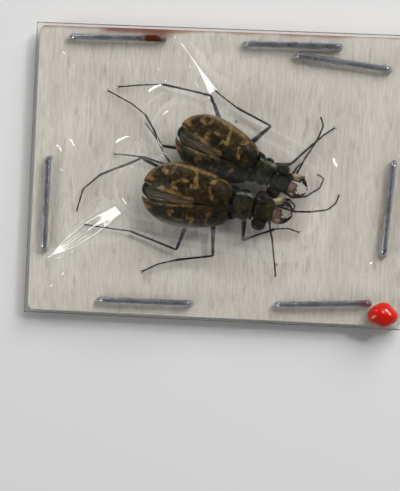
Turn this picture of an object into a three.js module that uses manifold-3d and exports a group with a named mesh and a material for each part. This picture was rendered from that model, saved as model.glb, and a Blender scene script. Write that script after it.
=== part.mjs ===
// A dried tiger beetle, life size, kept the way a small collection keeps it: laid on a square
// of card beside a second, smaller beetle, with a clear film stapled down over both.
// Millimetres, +Z up. The origin is on the surface that the packet lies on, under the middle
// of the card, with +X to the right along the card's long side and +Y along its short side.
import * as THREE from "three";
import { mergeVertices } from "three/addons/utils/BufferGeometryUtils.js";
import Module from "manifold-3d";

const wasm = await Module();
wasm.setup();

// Clearance between neighbouring pieces of the animal, which is only 11 mm long.
const GAP = 0.2;
// Clearance between the flat layers of the packet.
const LAYER_GAP = 0.15;
// Slivers thinner than this, left where pieces are joined or cut, are closed up.
const SLIVER = 0.015;

const wire = { wide: 0.5, thick: 0.4, bend: 0.45 };
const card = { long: 27, short: 20.6, thick: 0.8, bottom: wire.thick + LAYER_GAP };
const cardTop = card.bottom + card.thick;
const film = { long: 27.4, short: 21, thick: 0.3, restsAt: cardTop + LAYER_GAP };
const crownBottom = film.restsAt + film.thick + LAYER_GAP;
const packetHeightAtStaple = crownBottom + wire.thick;

// Each staple's crown, by the middle of its two bends on the card, and its foot's length.
const staples = [
  { from: [-11.1, 9.5], to: [-4.4, 9.6] },
  { from: [1.5, 9.45], to: [8.3, 9.5] },
  { from: [5.2, 8.75], to: [11.9, 8.0] },
  { from: [-12.35, 0.7], to: [-12.4, -5.9] },
  { from: [-8.2, -9.35], to: [-1.6, -9.3] },
  { from: [4.6, -9.1], to: [11.2, -8.7] },
  { from: [12.5, 1.4], to: [12.05, -5.2] },
];
const stapleFoot = 2.7;

// One beetle in its own frame: +X to the head, +Y to its left, +Z up its back, with the
// origin on its axis where the wing cases meet the pronotum, at the height of their edges.
// Outlines are half widths at stations along X.
const elytra = {
  outline: [
    [0, 1.15], [-0.45, 1.62], [-1.5, 1.93], [-3.2, 2.1], [-4.5, 1.96], [-5.5, 1.45], [-6.05, 0.85],
  ],
  tip: -6.35,
  archHeight: 1.25,
  thick: 0.45,
  lowerEdge: 0.05,
  hinge: [-0.3, 1],
  openDeg: 5.5,
};
const wings = {
  from: -1.25,
  tip: -6.2,
  split: -0.2,
  veinSpread: [0.15, 0.45, 0.75],
  vein: [[-3.2, 1.1, 0.5], [-4.9, 1, 0.47], [-6, 0.55, 0.24]],
  veinRadius: 0.16,
};
const thorax = {
  outline: [[-0.06, 0.6], [-0.4, 1.2], [-1.4, 1.56], [-2.6, 1.6]],
  ends: [0, -2.95],
  depth: 1.08,
};
const abdomen = {
  outline: [[-3.15, 1.56], [-4.4, 1.54], [-5.4, 1.14], [-6.15, 0.64]],
  ends: [-3.12, -6.6],
  depth: 1.0,
};
const bellyTop = -0.15;
const pronotum = {
  outline: [[0.24, 0.88], [0.45, 0.82], [0.95, 0.99], [1.36, 0.84], [1.51, 0.87]],
  ends: [0.2, 1.55],
  flat: 0.88,
};
const head = { centre: [2.43, 0, 0.05], radii: [0.66, 0.96, 0.58] };
const eye = { centre: [2.16, 1.08, 0.22], radii: [0.5, 0.4, 0.46] };
const labrum = { from: 2.85, reach: 3.7, halfWidth: 0.46, bottom: -0.06, thick: 0.4 };
const mandible = {
  path: [[2.75, 0.5, -0.42], [3.3, 0.82, -0.42], [3.9, 0.74, -0.44], [4.42, 0.24, -0.48]],
  rootRadius: 0.3,
  tipRadius: 0.1,
  tooth: 3.8,
};
const palp = { path: [[2.5, 0.3, -0.4], [3.05, 0.5, -1.02], [3.7, 0.72, -1.1]], radius: 0.18 };
const scutellum = { halfWidth: 0.34, from: 0, reach: -0.5, top: 0.74, thick: 0.4, stem: 0.22 };
const antennaRoot = [2.98, 0.66, 0.16];
const hips = { fore: [0.95, 0.5, -0.75], mid: [-1.35, 1.1, -1], hind: [-2.7, 0.2, -1.1] };
const limb = { femurRoot: 0.27, femurBelly: 0.31, knee: 0.27, tibia: 0.25, tarsus: 0.24, claw: 0.13 };
const feeler = { root: 0.25, tip: 0.15 };

// How each animal lies on the card: where its origin is, its height over the card, its
// heading from +X, its roll with its left side up, and its size against the sizes above.
// Its limbs are then given on the card, each point as x, y and height over the card.
const beetle = {
  at: [1.15, -2.1],
  height: 1.95,
  headingDeg: -8,
  rollDeg: 21,
  size: 1,
  sides: 8,
  rings: 6,
  legs: {
    fore_right: {
      knee: [1.99, -4.61, 0.7],
      ankle: [4.2, -3.72, 0.45],
      toes: [[5.2, -3.62, 0.4], [6.08, -3.92, 0.38]],
    },
    mid_right: {
      knee: [-0.1, -5.81, 0.72],
      ankle: [-2.81, -6.25, 0.45],
      toes: [[-4.1, -6.6, 0.4], [-5.36, -7.26, 0.38]],
    },
    hind_right: {
      knee: [-2.77, -5.5, 0.66],
      ankle: [-6.14, -4.31, 0.45],
      toes: [[-8, -4.15, 0.4], [-9.76, -3.97, 0.38]],
    },
    fore_left: {
      knee: [3.25, -1.88, 0.5],
      ankle: [5.15, -1.55, 0.42],
      toes: [[5.6, -2, 0.4], [5.32, -2.6, 0.38]],
    },
    mid_left: {
      knee: [-3.3, 0.45, 0.98],
      ankle: [-5.38, 1.02, 0.66],
      toes: [[-6.46, 1.11, 0.42], [-7.72, 1.16, 0.38]],
    },
    hind_left: {
      knee: [-5.37, 0.92, 2.1],
      ankle: [-8.55, -0.39, 0.5],
      toes: [[-9.75, -1.45, 0.42], [-10.2, -3.2, 0.38]],
    },
  },
  feelers: {
    left: [
      [4.9, -2.2, 2.6], [5.7, -2.42, 2.35], [6.8, -2.38, 1.6], [7.9, -2.2, 0.95],
      [8.5, -1.7, 0.6], [8.7, -1.05, 0.42],
    ],
    right: [[3.98, -3.75, 1.62], [4.14, -4.5, 1.35], [4.3, -5.9, 0.8], [4.43, -7.1, 0.4]],
  },
};
const companion = {
  at: [2.6, 0.58],
  height: 1.6,
  headingDeg: -24,
  rollDeg: 20,
  size: 0.93,
  sides: 6,
  rings: 4,
  legs: {
    fore_left: {
      knee: [5.18, 0.95, 0.95],
      ankle: [6.75, 2.5, 0.5],
      toes: [[7.42, 3.15, 0.42], [8.22, 3.73, 0.38]],
    },
    mid_left: {
      knee: [3.65, 3.59, 0.95],
      ankle: [1.15, 4.81, 0.5],
      toes: [[-0.3, 5.85, 0.42], [-0.87, 6.4, 0.38]],
    },
    hind_left: {
      knee: [-0.76, 5.62, 0.95],
      ankle: [-4.25, 6.29, 0.48],
      toes: [[-5.97, 6.2, 0.42], [-7.73, 5.99, 0.38]],
    },
    fore_right: {
      knee: [4.7, -0.6, 0.5],
      ankle: [5.45, 0.45, 0.42],
      toes: [[5.6, 0.75, 0.4], [5.86, 1.05, 0.38]],
    },
    mid_right: {
      knee: [-2.6, -0.5, 0.4],
      ankle: [-3.75, 0.95, 0.38],
      toes: [[-4.53, 2.27, 0.42], [-5.49, 3.6, 0.42]],
    },
    hind_right: {
      knee: [-4.12, 1.88, 1.22],
      ankle: [-5.4, 4.05, 0.55],
      toes: [[-6.5, 4.85, 0.42], [-8.47, 5.81, 0.38]],
    },
  },
  feelers: {
    left: [[5.5, -0.1, 1.5], [6.2, 1.36, 1.3], [7, 2.77, 0.9], [7.38, 3.79, 0.55], [7.14, 4.43, 0.4]],
    right: [[5.4, -1.45, 1.3], [6.4, -1.29, 0.9], [7.3, -0.65, 0.55], [7.55, 0.06, 0.42], [7.05, 0.34, 0.4]],
  },
};

// The film stands off the card over the legs, is tented over the two bodies, and is creased
// where the staples hold it. A crease widens along its length; its flanks are flat.
const tent = {
  standsOff: 0.85,
  flatRim: 1.6,
  stapleFlat: 0.8,
  riseOver: 1.6,
  ridges: [
    { from: [-4.9, -1.2], to: [4.9, -2.7], rise: 2.85, halfWidth: 1.5, spread: 1.5 },
    { from: [-2.6, 2.9], to: [5.0, -0.5], rise: 2.35, halfWidth: 1.45, spread: 1.45 },
  ],
};
const creases = [
  { from: [-2.9, 9.9], to: [-0.7, 5.4], narrow: 0.14, wide: 0.75, steep: 0.4 },
  { from: [-4.6, 7.6], to: [-3.7, 6.0], narrow: 0.1, wide: 0.4, steep: 0.4 },
  { from: [-12.3, -6.3], to: [-6.4, -2.4], narrow: 0.16, wide: 0.85, steep: 0.4 },
  { from: [-11.7, -6.0], to: [-8.4, -3.6], narrow: 0.08, wide: 0.22, steep: 0.4 },
  { from: [-11.9, 1.3], to: [-11.4, 0.0], narrow: 0.1, wide: 0.25, steep: 0.35 },
  { from: [11.9, -6.3], to: [11.2, -7.9], narrow: 0.1, wide: 0.35, steep: 0.35 },
  { from: [-12.9, 8.6], to: [-12.5, 6.0], narrow: 0.1, wide: 0.25, steep: 0.3 },
];
// The sheet's grid is finer over the creases.
const filmGrid = {
  coarse: 1.35,
  fine: 0.7,
  fineX: [[-12.6, -0.4]],
  fineY: [[-6.6, -2.2], [4.6, 9.6]],
};
const sealDrop = { at: [12.25, -9.6], radii: [1, 0.8], height: 0.75 };

// Helpers: every shape starts as a three.js geometry and becomes a solid that can be joined.
function toSolid(geometry) {
  const bare = geometry.index ? geometry.toNonIndexed() : geometry.clone();
  for (const name of Object.keys(bare.attributes)) {
    if (name !== "position") bare.deleteAttribute(name);
  }
  const merged = mergeVertices(bare, 1e-5);
  const corners = merged.index.array;
  const kept = [];
  for (let i = 0; i < corners.length; i += 3) {
    const [a, b, c] = corners.subarray(i, i + 3);
    if (a !== b && b !== c && a !== c) kept.push(a, b, c);
  }
  const make = (triVerts) =>
    new wasm.Manifold(
      new wasm.Mesh({
        numProp: 3,
        vertProperties: Float32Array.from(merged.attributes.position.array),
        triVerts: Uint32Array.from(triVerts),
      }),
    );
  const made = make(kept);
  if (made.volume() > 0) return made;
  for (let i = 0; i < kept.length; i += 3) [kept[i + 1], kept[i + 2]] = [kept[i + 2], kept[i + 1]];
  return make(kept);
}

function toGeometry(solid) {
  const mesh = solid.getMesh();
  const points = new Float32Array(mesh.numVert * 3);
  for (let i = 0; i < mesh.numVert; i++) {
    points.set(mesh.vertProperties.subarray(i * mesh.numProp, i * mesh.numProp + 3), i * 3);
  }
  const geometry = new THREE.BufferGeometry();
  geometry.setAttribute("position", new THREE.BufferAttribute(points, 3));
  geometry.setIndex(new THREE.BufferAttribute(Uint32Array.from(mesh.triVerts), 1));
  geometry.computeVertexNormals();
  return geometry;
}

const union = (solids) => solids.reduce((all, next) => all.add(next));
const without = (solid, cutters) =>
  cutters.reduce((left, cutter) => left.subtract(cutter), solid);

// What fusing or cutting leaves as loose scraps or sealed hollows is dropped.
function mainBody(solid) {
  const bodies = solid.decompose();
  return bodies.sort((a, b) => b.volume() - a.volume())[0];
}

function slab(from, to) {
  const size = to.map((high, i) => high - from[i]);
  const box = new THREE.BoxGeometry(...size);
  return toSolid(box.translate(...from.map((low, i) => low + size[i] / 2)));
}

function ball(centre, radii, around = 14, up = 10) {
  const sphere = new THREE.SphereGeometry(1, around, up);
  return toSolid(sphere.rotateX(Math.PI / 2).scale(...radii).translate(...centre));
}

// A body section turned about the X axis from its half widths, then flattened.
function barrel(outline, ends, flat, { sides = 22, rings = 14, grow = 0 } = {}) {
  const [front, back] = ends;
  const along = Math.sign(back - front);
  const curve = new THREE.SplineCurve(outline.map(([x, r]) => new THREE.Vector2(r, x)));
  const rim = curve.getPoints(rings).map((p) => new THREE.Vector2(p.x + grow, p.y));
  const capRing = (ring, x) => new THREE.Vector2(ring.x - grow * 0.7, x);
  const profile = [
    new THREE.Vector2(0, front - along * grow),
    ...(grow > 0 ? [capRing(rim[0], front - along * grow)] : []),
    ...rim,
    ...(grow > 0 ? [capRing(rim.at(-1), back + along * grow)] : []),
    new THREE.Vector2(0, back + along * grow),
  ];
  const turned = new THREE.LatheGeometry(profile, sides);
  return toSolid(turned.rotateZ(-Math.PI / 2).scale(1, 1, flat + grow * 0.3));
}

// A straight rod between two points, turned from its radius at shares of its length.
function rod(from, to, radii, sides = 8) {
  const a = new THREE.Vector3(...from);
  const b = new THREE.Vector3(...to);
  const long = a.distanceTo(b);
  const profile = radii.map(([share, radius]) => new THREE.Vector2(radius, share * long));
  profile.unshift(new THREE.Vector2(0, 0));
  profile.push(new THREE.Vector2(0, long));
  const geometry = new THREE.LatheGeometry(profile, sides);
  const along = b.sub(a).normalize();
  const turn = new THREE.Quaternion().setFromUnitVectors(new THREE.Vector3(0, 1, 0), along);
  return toSolid(geometry.applyQuaternion(turn).translate(...from));
}

// A tapered rod bent along a smooth curve: a cylinder whose rings are set along the curve.
function bentRod(points, fromRadius, toRadius, { sides = 7, rings = 12, grow = 0 } = {}) {
  const path = points.map((p) => new THREE.Vector3(...p));
  const outward = (end, inner) => end.clone().sub(inner).setLength(grow);
  path[0].add(outward(path[0], path[1]));
  path.at(-1).add(outward(path.at(-1), path.at(-2)));
  const curve = new THREE.CatmullRomCurve3(path, false, "centripetal");
  const frames = curve.computeFrenetFrames(rings, false);
  const geometry = new THREE.CylinderGeometry(1, 1, 1, sides, rings);
  const position = geometry.attributes.position;
  for (let i = 0; i < position.count; i++) {
    const share = position.getY(i) + 0.5;
    const ring = Math.round(share * rings);
    const radius = fromRadius + (toRadius - fromRadius) * share + grow;
    const place = curve
      .getPointAt(ring / rings)
      .addScaledVector(frames.normals[ring], position.getX(i) * radius)
      .addScaledVector(frames.binormals[ring], position.getZ(i) * radius);
    position.setXYZ(i, place.x, place.y, place.z);
  }
  return toSolid(geometry);
}

const mirrored = ([x, y, z], side) => [x, y * side, z];

// One beetle's pieces, in its own frame. grow swells a piece by that much, to cut a clear
// space for it in its neighbour.
const archFlat = elytra.archHeight / Math.max(...elytra.outline.map(([, r]) => r));

function caseBarrel(inset, { sides = 30, rings = 13 } = {}) {
  const ends = [-inset, elytra.tip + inset];
  const between = (x) => THREE.MathUtils.clamp(x, ends[1] + 0.03, ends[0] - 0.03);
  const outline = elytra.outline.map(([x, r]) => [between(x), r - inset]);
  return barrel(outline, ends, archFlat, { sides, rings });
}

function elytron(side, grow = 0) {
  const outer = caseBarrel(-grow);
  const hollow = caseBarrel(elytra.thick + grow);
  const half = slab(
    side > 0 ? [-8, GAP / 2 - grow, elytra.lowerEdge - grow] : [-8, -4, elytra.lowerEdge - grow],
    side > 0 ? [2, 4, 4] : [2, grow - GAP / 2, 4],
  );
  const shell = outer.subtract(hollow).intersect(half);
  const [hingeX, hingeY] = elytra.hinge;
  return mainBody(shell)
    .translate([-hingeX, -hingeY * side, 0])
    .rotate([0, 0, -elytra.openDeg * side])
    .translate([hingeX, hingeY * side, 0]);
}

function wingPair() {
  const room = elytra.thick + GAP * 2;
  const cap = barrel(
    elytra.outline.slice(2).map(([x, r]) => [x, r - room]),
    [wings.from, wings.tip],
    archFlat,
    { sides: 30, rings: 12 },
  );
  const veins = wings.veinSpread.flatMap((out) =>
    [out, -out].map((y) => {
      const path = wings.vein.map(([x, share, z]) => [x, share * y, z]);
      return bentRod(path, wings.veinRadius, wings.veinRadius * 0.6, { sides: 6, rings: 4 });
    }),
  );
  return union([cap, ...veins]).intersect(slab([-8, -3, elytra.lowerEdge], [2, 3, 3]));
}

function wing(side) {
  const half =
    side > 0
      ? slab([-8, wings.split + GAP / 2, -1], [2, 3, 3])
      : slab([-8, -3, -1], [2, wings.split - GAP / 2, 3]);
  const cleared = without(wingPair(), [elytron(1, GAP), elytron(-1, GAP)]);
  return mainBody(cleared.intersect(half));
}

function belly(section, grow = 0) {
  const widest = Math.max(...section.outline.map(([, r]) => r));
  const whole = barrel(section.outline, section.ends, section.depth / widest, { grow, rings: 9 });
  return whole.intersect(slab([-8, -3, -3], [2, 3, bellyTop + grow]));
}

function scutellumPlate(grow = 0) {
  const { halfWidth, from, reach, top, thick } = scutellum;
  const plan = new THREE.Shape([
    new THREE.Vector2(from + grow, halfWidth + grow * 1.6),
    new THREE.Vector2(reach - grow * 3, 0),
    new THREE.Vector2(from + grow, -halfWidth - grow * 1.6),
  ]);
  const plate = new THREE.ExtrudeGeometry(plan, { depth: thick + 2 * grow, bevelEnabled: false });
  return toSolid(plate.translate(0, 0, top - thick - grow));
}

function thoraxBody(grow = 0) {
  const { from, stem, top } = scutellum;
  const post = slab(
    [from - stem - grow, -stem - grow, -0.6],
    [from + grow, stem + grow, top - 0.1],
  );
  return mainBody(union([belly(thorax, grow), post, scutellumPlate(grow)]));
}

function pronotumBody(grow = 0) {
  return barrel(pronotum.outline, pronotum.ends, pronotum.flat, { grow, rings: 9 });
}

function eyeBody(side, grow = 0) {
  return ball(mirrored(eye.centre, side), eye.radii.map((r) => r + grow), 12, 8);
}

function skull(grow = 0) {
  return ball(head.centre, head.radii.map((r) => r + grow), 18, 12);
}

function palpRod(side, grow = 0) {
  const path = palp.path.map((p) => mirrored(p, side));
  return bentRod(path, palp.radius, palp.radius * 0.75, { rings: 6, grow });
}

function headBody() {
  const whole = union([skull(), palpRod(1), palpRod(-1)]);
  const clear = [1, -1].flatMap((side) => [eyeBody(side, GAP), mandibleBody(side, GAP * 0.9)]);
  return mainBody(without(whole, clear));
}

function labrumBody(grow = 0) {
  const { from, reach, halfWidth, bottom, thick } = labrum;
  const w = halfWidth + grow;
  const plan = new THREE.Shape();
  plan.moveTo(from, -w * 0.85);
  plan.lineTo(reach - 0.3, -w);
  plan.quadraticCurveTo(reach + grow, -w * 0.55, reach + grow, 0);
  plan.quadraticCurveTo(reach + grow, w * 0.55, reach - 0.3, w);
  plan.lineTo(from, w * 0.85);
  plan.closePath();
  const plate = new THREE.ExtrudeGeometry(plan, {
    depth: thick + 2 * grow,
    bevelEnabled: false,
    curveSegments: 5,
  });
  return toSolid(plate.translate(0, 0, bottom - grow));
}

function mandibleBody(side, grow = 0) {
  const path = mandible.path.map((p) => mirrored(p, side));
  const sickle = bentRod(path, mandible.rootRadius, mandible.tipRadius, { sides: 8, rings: 8, grow });
  const tooth = rod(
    mirrored([mandible.tooth, 0.66, -0.44], side),
    mirrored([mandible.tooth + 0.07, 0.28, -0.46], side),
    [[0, 0.17 + grow], [1, 0.08 + grow]],
    6,
  );
  return union([sickle, tooth]);
}

// Where a beetle lies, and the way from points on the card to its own frame.
function placeOf(animal) {
  const group = new THREE.Group();
  const [x, y] = animal.at;
  group.position.set(x, y, cardTop + animal.height);
  group.rotation.set(
    THREE.MathUtils.degToRad(animal.rollDeg),
    0,
    THREE.MathUtils.degToRad(animal.headingDeg),
    "ZYX",
  );
  group.scale.setScalar(animal.size);
  group.updateMatrixWorld(true);
  return group;
}

function onBody(group, [x, y, overCard]) {
  return group.worldToLocal(new THREE.Vector3(x, y, cardTop + overCard)).toArray();
}

function legBody(animal, group, name, grow = 0) {
  const [pair, sideName] = name.split("_");
  const side = sideName === "left" ? 1 : -1;
  const hip = mirrored(hips[pair], side);
  const { knee, ankle, toes } = animal.legs[name];
  const [k, a, ...t] = [knee, ankle, ...toes].map((p) => onBody(group, p));
  const thick = (radius) => radius / animal.size + grow;
  const sides = animal.sides;
  return union([
    rod(hip, k, [[0, thick(limb.femurRoot)], [0.35, thick(limb.femurBelly)], [1, thick(limb.knee)]], sides),
    ball(k, Array(3).fill(thick(limb.knee) * 1.06), sides, 5),
    rod(k, a, [[0, thick(limb.tibia)], [1, thick(limb.tibia)]], sides),
    ball(a, Array(3).fill(thick(limb.tibia) * 1.1), sides, 5),
    bentRod([a, ...t], limb.tarsus / animal.size, limb.claw / animal.size, {
      sides,
      rings: animal.rings,
      grow,
    }),
  ]);
}

function feelerBody(animal, group, sideName, grow = 0) {
  const root = mirrored(antennaRoot, sideName === "left" ? 1 : -1);
  const path = [root, ...animal.feelers[sideName].map((p) => onBody(group, p))];
  const [rootRadius, tipRadius] = [feeler.root / animal.size, feeler.tip / animal.size];
  const sides = animal.sides - 1;
  return bentRod(path, rootRadius, tipRadius, { sides, rings: animal.rings * 2, grow });
}

// Materials, one for each finish.
const finish = (colour, roughness, metalness = 0, more = {}) =>
  new THREE.MeshStandardMaterial({ color: colour, roughness, metalness, ...more });
const finishes = {
  elytra: finish(0x4a3a1c, 0.42, 0.25),
  body: finish(0x2a2416, 0.4, 0.35),
  underside: finish(0x1c1a16, 0.38, 0.3),
  eye: finish(0x191411, 0.18),
  labrum: finish(0xa98a62, 0.4),
  mandible: finish(0x33221a, 0.3),
  leg: finish(0x241d26, 0.35, 0.2),
  wing: finish(0x6b5836, 0.35),
  card: finish(0xcfc9bd, 0.95),
  film: finish(0xf4f6f8, 0.08, 0, { transparent: true, opacity: 0.2 }),
  staple: finish(0x7a7e86, 0.3, 0.9),
  seal: finish(0xc81608, 0.2),
};

const root = new THREE.Group();

function show(parent, name, solid, material) {
  const mesh = new THREE.Mesh(toGeometry(mainBody(solid.simplify(SLIVER))), material);
  mesh.name = name;
  parent.add(mesh);
}

// The main beetle, a node for each part that a person would name.
const place = placeOf(beetle);
const legNames = Object.keys(beetle.legs);
const trunkSpace = [thoraxBody(GAP), belly(abdomen, GAP), pronotumBody(GAP)];
const eyesSpace = [eyeBody(1, GAP), eyeBody(-1, GAP)];
const headSpace = [skull(GAP), palpRod(1, GAP), palpRod(-1, GAP)];

show(place, "elytron_left", without(elytron(1), [thoraxBody(GAP)]), finishes.elytra);
show(place, "elytron_right", without(elytron(-1), [thoraxBody(GAP)]), finishes.elytra);
show(place, "hind_wing_left", wing(1), finishes.wing);
show(place, "hind_wing_right", wing(-1), finishes.wing);
show(place, "thorax", thoraxBody(), finishes.underside);
show(place, "abdomen", belly(abdomen), finishes.underside);
show(place, "pronotum", pronotumBody(), finishes.body);
show(place, "head", headBody(), finishes.body);
show(place, "eye_left", eyeBody(1), finishes.eye);
show(place, "eye_right", eyeBody(-1), finishes.eye);
show(place, "labrum", without(labrumBody(), [skull(GAP)]), finishes.labrum);
for (const [sideName, side] of [["left", 1], ["right", -1]]) {
  const bite = without(mandibleBody(side), [skull(GAP), labrumBody(GAP)]);
  show(place, `mandible_${sideName}`, bite, finishes.mandible);
  const clear = [skull(GAP), labrumBody(GAP), mandibleBody(side, GAP), ...eyesSpace];
  show(place, `antenna_${sideName}`, without(feelerBody(beetle, place, sideName), clear), finishes.leg);
}
for (const name of legNames) {
  const leg = without(legBody(beetle, place, name), [...trunkSpace, ...headSpace]);
  show(place, `leg_${name}`, leg, finishes.leg);
}
root.add(place);

// The second beetle is plainer: one solid, cut clear of the first where they press together.
function companionSolid() {
  const own = placeOf(companion);
  const back = caseBarrel(0, { sides: 22, rings: 9 }).intersect(slab([-8, -4, bellyTop * 2], [2, 4, 4]));
  const parting = slab([-6.3, -0.06, 0.98], [-0.6, 0.06, 2]);
  const neck = ball([1.75, 0, 0], [0.7, 0.62, 0.5], 12, 8);
  const bites = [1, -1].map((side) => mandibleBody(side));
  const fused = union([
    without(back, [parting]),
    belly(thorax),
    belly(abdomen).translate([0.4, 0, 0]),
    ball([-0.1, 0, -0.05], [0.9, 0.75, 0.7], 12, 8),
    barrel(pronotum.outline, pronotum.ends, pronotum.flat, { rings: 6, sides: 14 }),
    neck,
    ball(head.centre, head.radii, 12, 8),
    ball(mirrored(eye.centre, 1), eye.radii, 10, 8),
    ball(mirrored(eye.centre, -1), eye.radii, 10, 8),
    labrumBody(),
    ...bites,
    ...Object.keys(companion.legs).map((name) => legBody(companion, own, name)),
    feelerBody(companion, own, "left"),
    feelerBody(companion, own, "right"),
  ]);
  const inItsFrame = (solid) => {
    const m = own.matrixWorld.clone().invert().multiply(place.matrixWorld);
    return solid.transform(m.toArray());
  };
  const first = [
    elytron(1, GAP),
    elytron(-1, GAP),
    ...trunkSpace,
    ...headSpace,
    ...eyesSpace,
    mandibleBody(1, GAP),
    labrumBody(GAP),
    feelerBody(beetle, place, "left", GAP),
    ...legNames.filter((n) => n.endsWith("left")).map((n) => legBody(beetle, place, n, GAP)),
  ];
  return { group: own, solid: without(fused, first.map(inItsFrame)) };
}

const second = companionSolid();
show(second.group, "companion_beetle", second.solid, finishes.elytra);
root.add(second.group);

// Staples: a bent wire, closed to a C by its two clinched feet, standing on its feet.
function stapleFrame({ from, to }) {
  const [dx, dy] = [to[0] - from[0], to[1] - from[1]];
  return {
    length: Math.hypot(dx, dy) + wire.thick,
    angle: Math.atan2(dy, dx),
    middle: [(from[0] + to[0]) / 2, (from[1] + to[1]) / 2],
  };
}

function stapleSolid(length) {
  const half = length / 2;
  const { thick, bend } = wire;
  const side = new THREE.Shape();
  side.moveTo(-half + stapleFoot, 0);
  side.lineTo(-half + bend, 0);
  side.quadraticCurveTo(-half, 0, -half, bend);
  side.lineTo(-half, packetHeightAtStaple - bend);
  side.quadraticCurveTo(-half, packetHeightAtStaple, -half + bend, packetHeightAtStaple);
  side.lineTo(half - bend, packetHeightAtStaple);
  side.quadraticCurveTo(half, packetHeightAtStaple, half, packetHeightAtStaple - bend);
  side.lineTo(half, bend);
  side.quadraticCurveTo(half, 0, half - bend, 0);
  side.lineTo(half - stapleFoot, 0);
  side.lineTo(half - stapleFoot, thick);
  side.lineTo(half - thick, thick);
  side.lineTo(half - thick, packetHeightAtStaple - thick);
  side.lineTo(-half + thick, packetHeightAtStaple - thick);
  side.lineTo(-half + thick, thick);
  side.lineTo(-half + stapleFoot, thick);
  side.closePath();
  const bent = new THREE.ExtrudeGeometry(side, {
    depth: wire.wide,
    bevelEnabled: false,
    curveSegments: 3,
  });
  return toSolid(bent.rotateX(Math.PI / 2).translate(0, wire.wide / 2, 0));
}

// The two slots that a staple's legs take through the card and the film.
function stapleSlots(staple) {
  const { length, angle, middle } = stapleFrame(staple);
  const clear = LAYER_GAP;
  return [-1, 1].map((end) => {
    const x = end * (length / 2 - wire.thick / 2);
    const reachX = wire.thick / 2 + clear;
    const reachY = wire.wide / 2 + clear;
    return slab([x - reachX, -reachY, 0], [x + reachX, reachY, 6])
      .rotate([0, 0, THREE.MathUtils.radToDeg(angle)])
      .translate([...middle, 0]);
  });
}

const slots = staples.flatMap(stapleSlots);
staples.forEach((staple, i) => {
  const { length, angle, middle } = stapleFrame(staple);
  const stand = new THREE.Group();
  stand.position.set(...middle, 0);
  stand.rotation.z = angle;
  show(stand, `staple_${i + 1}`, stapleSolid(length), finishes.staple);
  root.add(stand);
});

const cardBlock = slab(
  [-card.long / 2, -card.short / 2, card.bottom],
  [card.long / 2, card.short / 2, cardTop],
);
show(root, "card", without(cardBlock, slots), finishes.card);

// The film's height over its flat rim, at a place on the card.
const ease = (share) => {
  const t = THREE.MathUtils.clamp(share, 0, 1);
  return t * t * (3 - 2 * t);
};

// How far along a line the nearest place to a point is, as a share, and how far off it lies.
function nearestOn([x, y], from, to) {
  const [dx, dy] = [to[0] - from[0], to[1] - from[1]];
  const along = ((x - from[0]) * dx + (y - from[1]) * dy) / (dx * dx + dy * dy);
  const share = THREE.MathUtils.clamp(along, 0, 1);
  return [share, Math.hypot(x - from[0] - share * dx, y - from[1] - share * dy)];
}

const distanceTo = (point, from, to) => nearestOn(point, from, to)[1];

function creaseHeight(point, { from, to, narrow, wide, steep }) {
  const [share, off] = nearestOn(point, from, to);
  return steep * Math.max(0, narrow + (wide - narrow) * share - off);
}

function filmLift(x, y) {
  const toRim = Math.min(film.long / 2 - Math.abs(x), film.short / 2 - Math.abs(y)) - tent.flatRim;
  const toStaple = Math.min(...staples.map((s) => distanceTo([x, y], s.from, s.to))) - tent.stapleFlat;
  const free = ease(Math.min(toRim, toStaple) / tent.riseOver);
  const bumps = tent.ridges.map(({ from, to, rise, halfWidth, spread }) => {
    const past = Math.max(0, distanceTo([x, y], from, to) - halfWidth) / spread;
    return rise * Math.exp(-past * past);
  });
  const blended = Math.hypot(...bumps.map((b) => b ** 3)) ** (1 / 3);
  const folds = creases.reduce((sum, fold) => sum + creaseHeight([x, y], fold), 0);
  return free * (tent.standsOff + blended) + folds;
}

// Grid lines from -reach to +reach, closer together inside the fine stretches.
function gridLines(reach, fineStretches) {
  const lines = [-reach];
  while (lines.at(-1) < reach - filmGrid.coarse * 0.6) {
    const at = lines.at(-1);
    const fine = fineStretches.some(([low, high]) => at >= low && at < high);
    lines.push(at + (fine ? filmGrid.fine : filmGrid.coarse));
  }
  lines[lines.length - 1] = reach;
  return lines;
}

// A sheet of even thickness over a grid, its two faces split into triangles alike.
function sheetSolid(columns, rows, lift, thick) {
  const [across, up] = [columns.length - 1, rows.length - 1];
  const grid = new THREE.PlaneGeometry(1, 1, across, up);
  const count = grid.attributes.position.count;
  const points = new Float32Array(count * 6);
  for (let i = 0; i < count; i++) {
    const x = columns[i % (across + 1)];
    const y = rows[up - Math.floor(i / (across + 1))];
    const z = lift(x, y);
    points.set([x, y, z + thick], i * 3);
    points.set([x, y, z], (count + i) * 3);
  }
  const top = Array.from(grid.index.array);
  const faces = [...top];
  for (let i = 0; i < top.length; i += 3) {
    faces.push(top[i] + count, top[i + 2] + count, top[i + 1] + count);
  }
  const row = across + 1;
  const rim = [];
  for (let i = 0; i < across; i++) rim.push(i);
  for (let j = 0; j < up; j++) rim.push(j * row + across);
  for (let i = across; i > 0; i--) rim.push(up * row + i);
  for (let j = up; j > 0; j--) rim.push(j * row);
  rim.forEach((a, i) => {
    const b = rim[(i + 1) % rim.length];
    faces.push(a, b, b + count, a, b + count, a + count);
  });
  const geometry = new THREE.BufferGeometry();
  geometry.setAttribute("position", new THREE.BufferAttribute(points, 3));
  geometry.setIndex(faces);
  return toSolid(geometry);
}

const filmSheet = sheetSolid(
  gridLines(film.long / 2, filmGrid.fineX),
  gridLines(film.short / 2, filmGrid.fineY),
  (x, y) => film.restsAt + filmLift(x, y),
  film.thick,
);
show(root, "film", without(filmSheet, slots), finishes.film);

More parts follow.
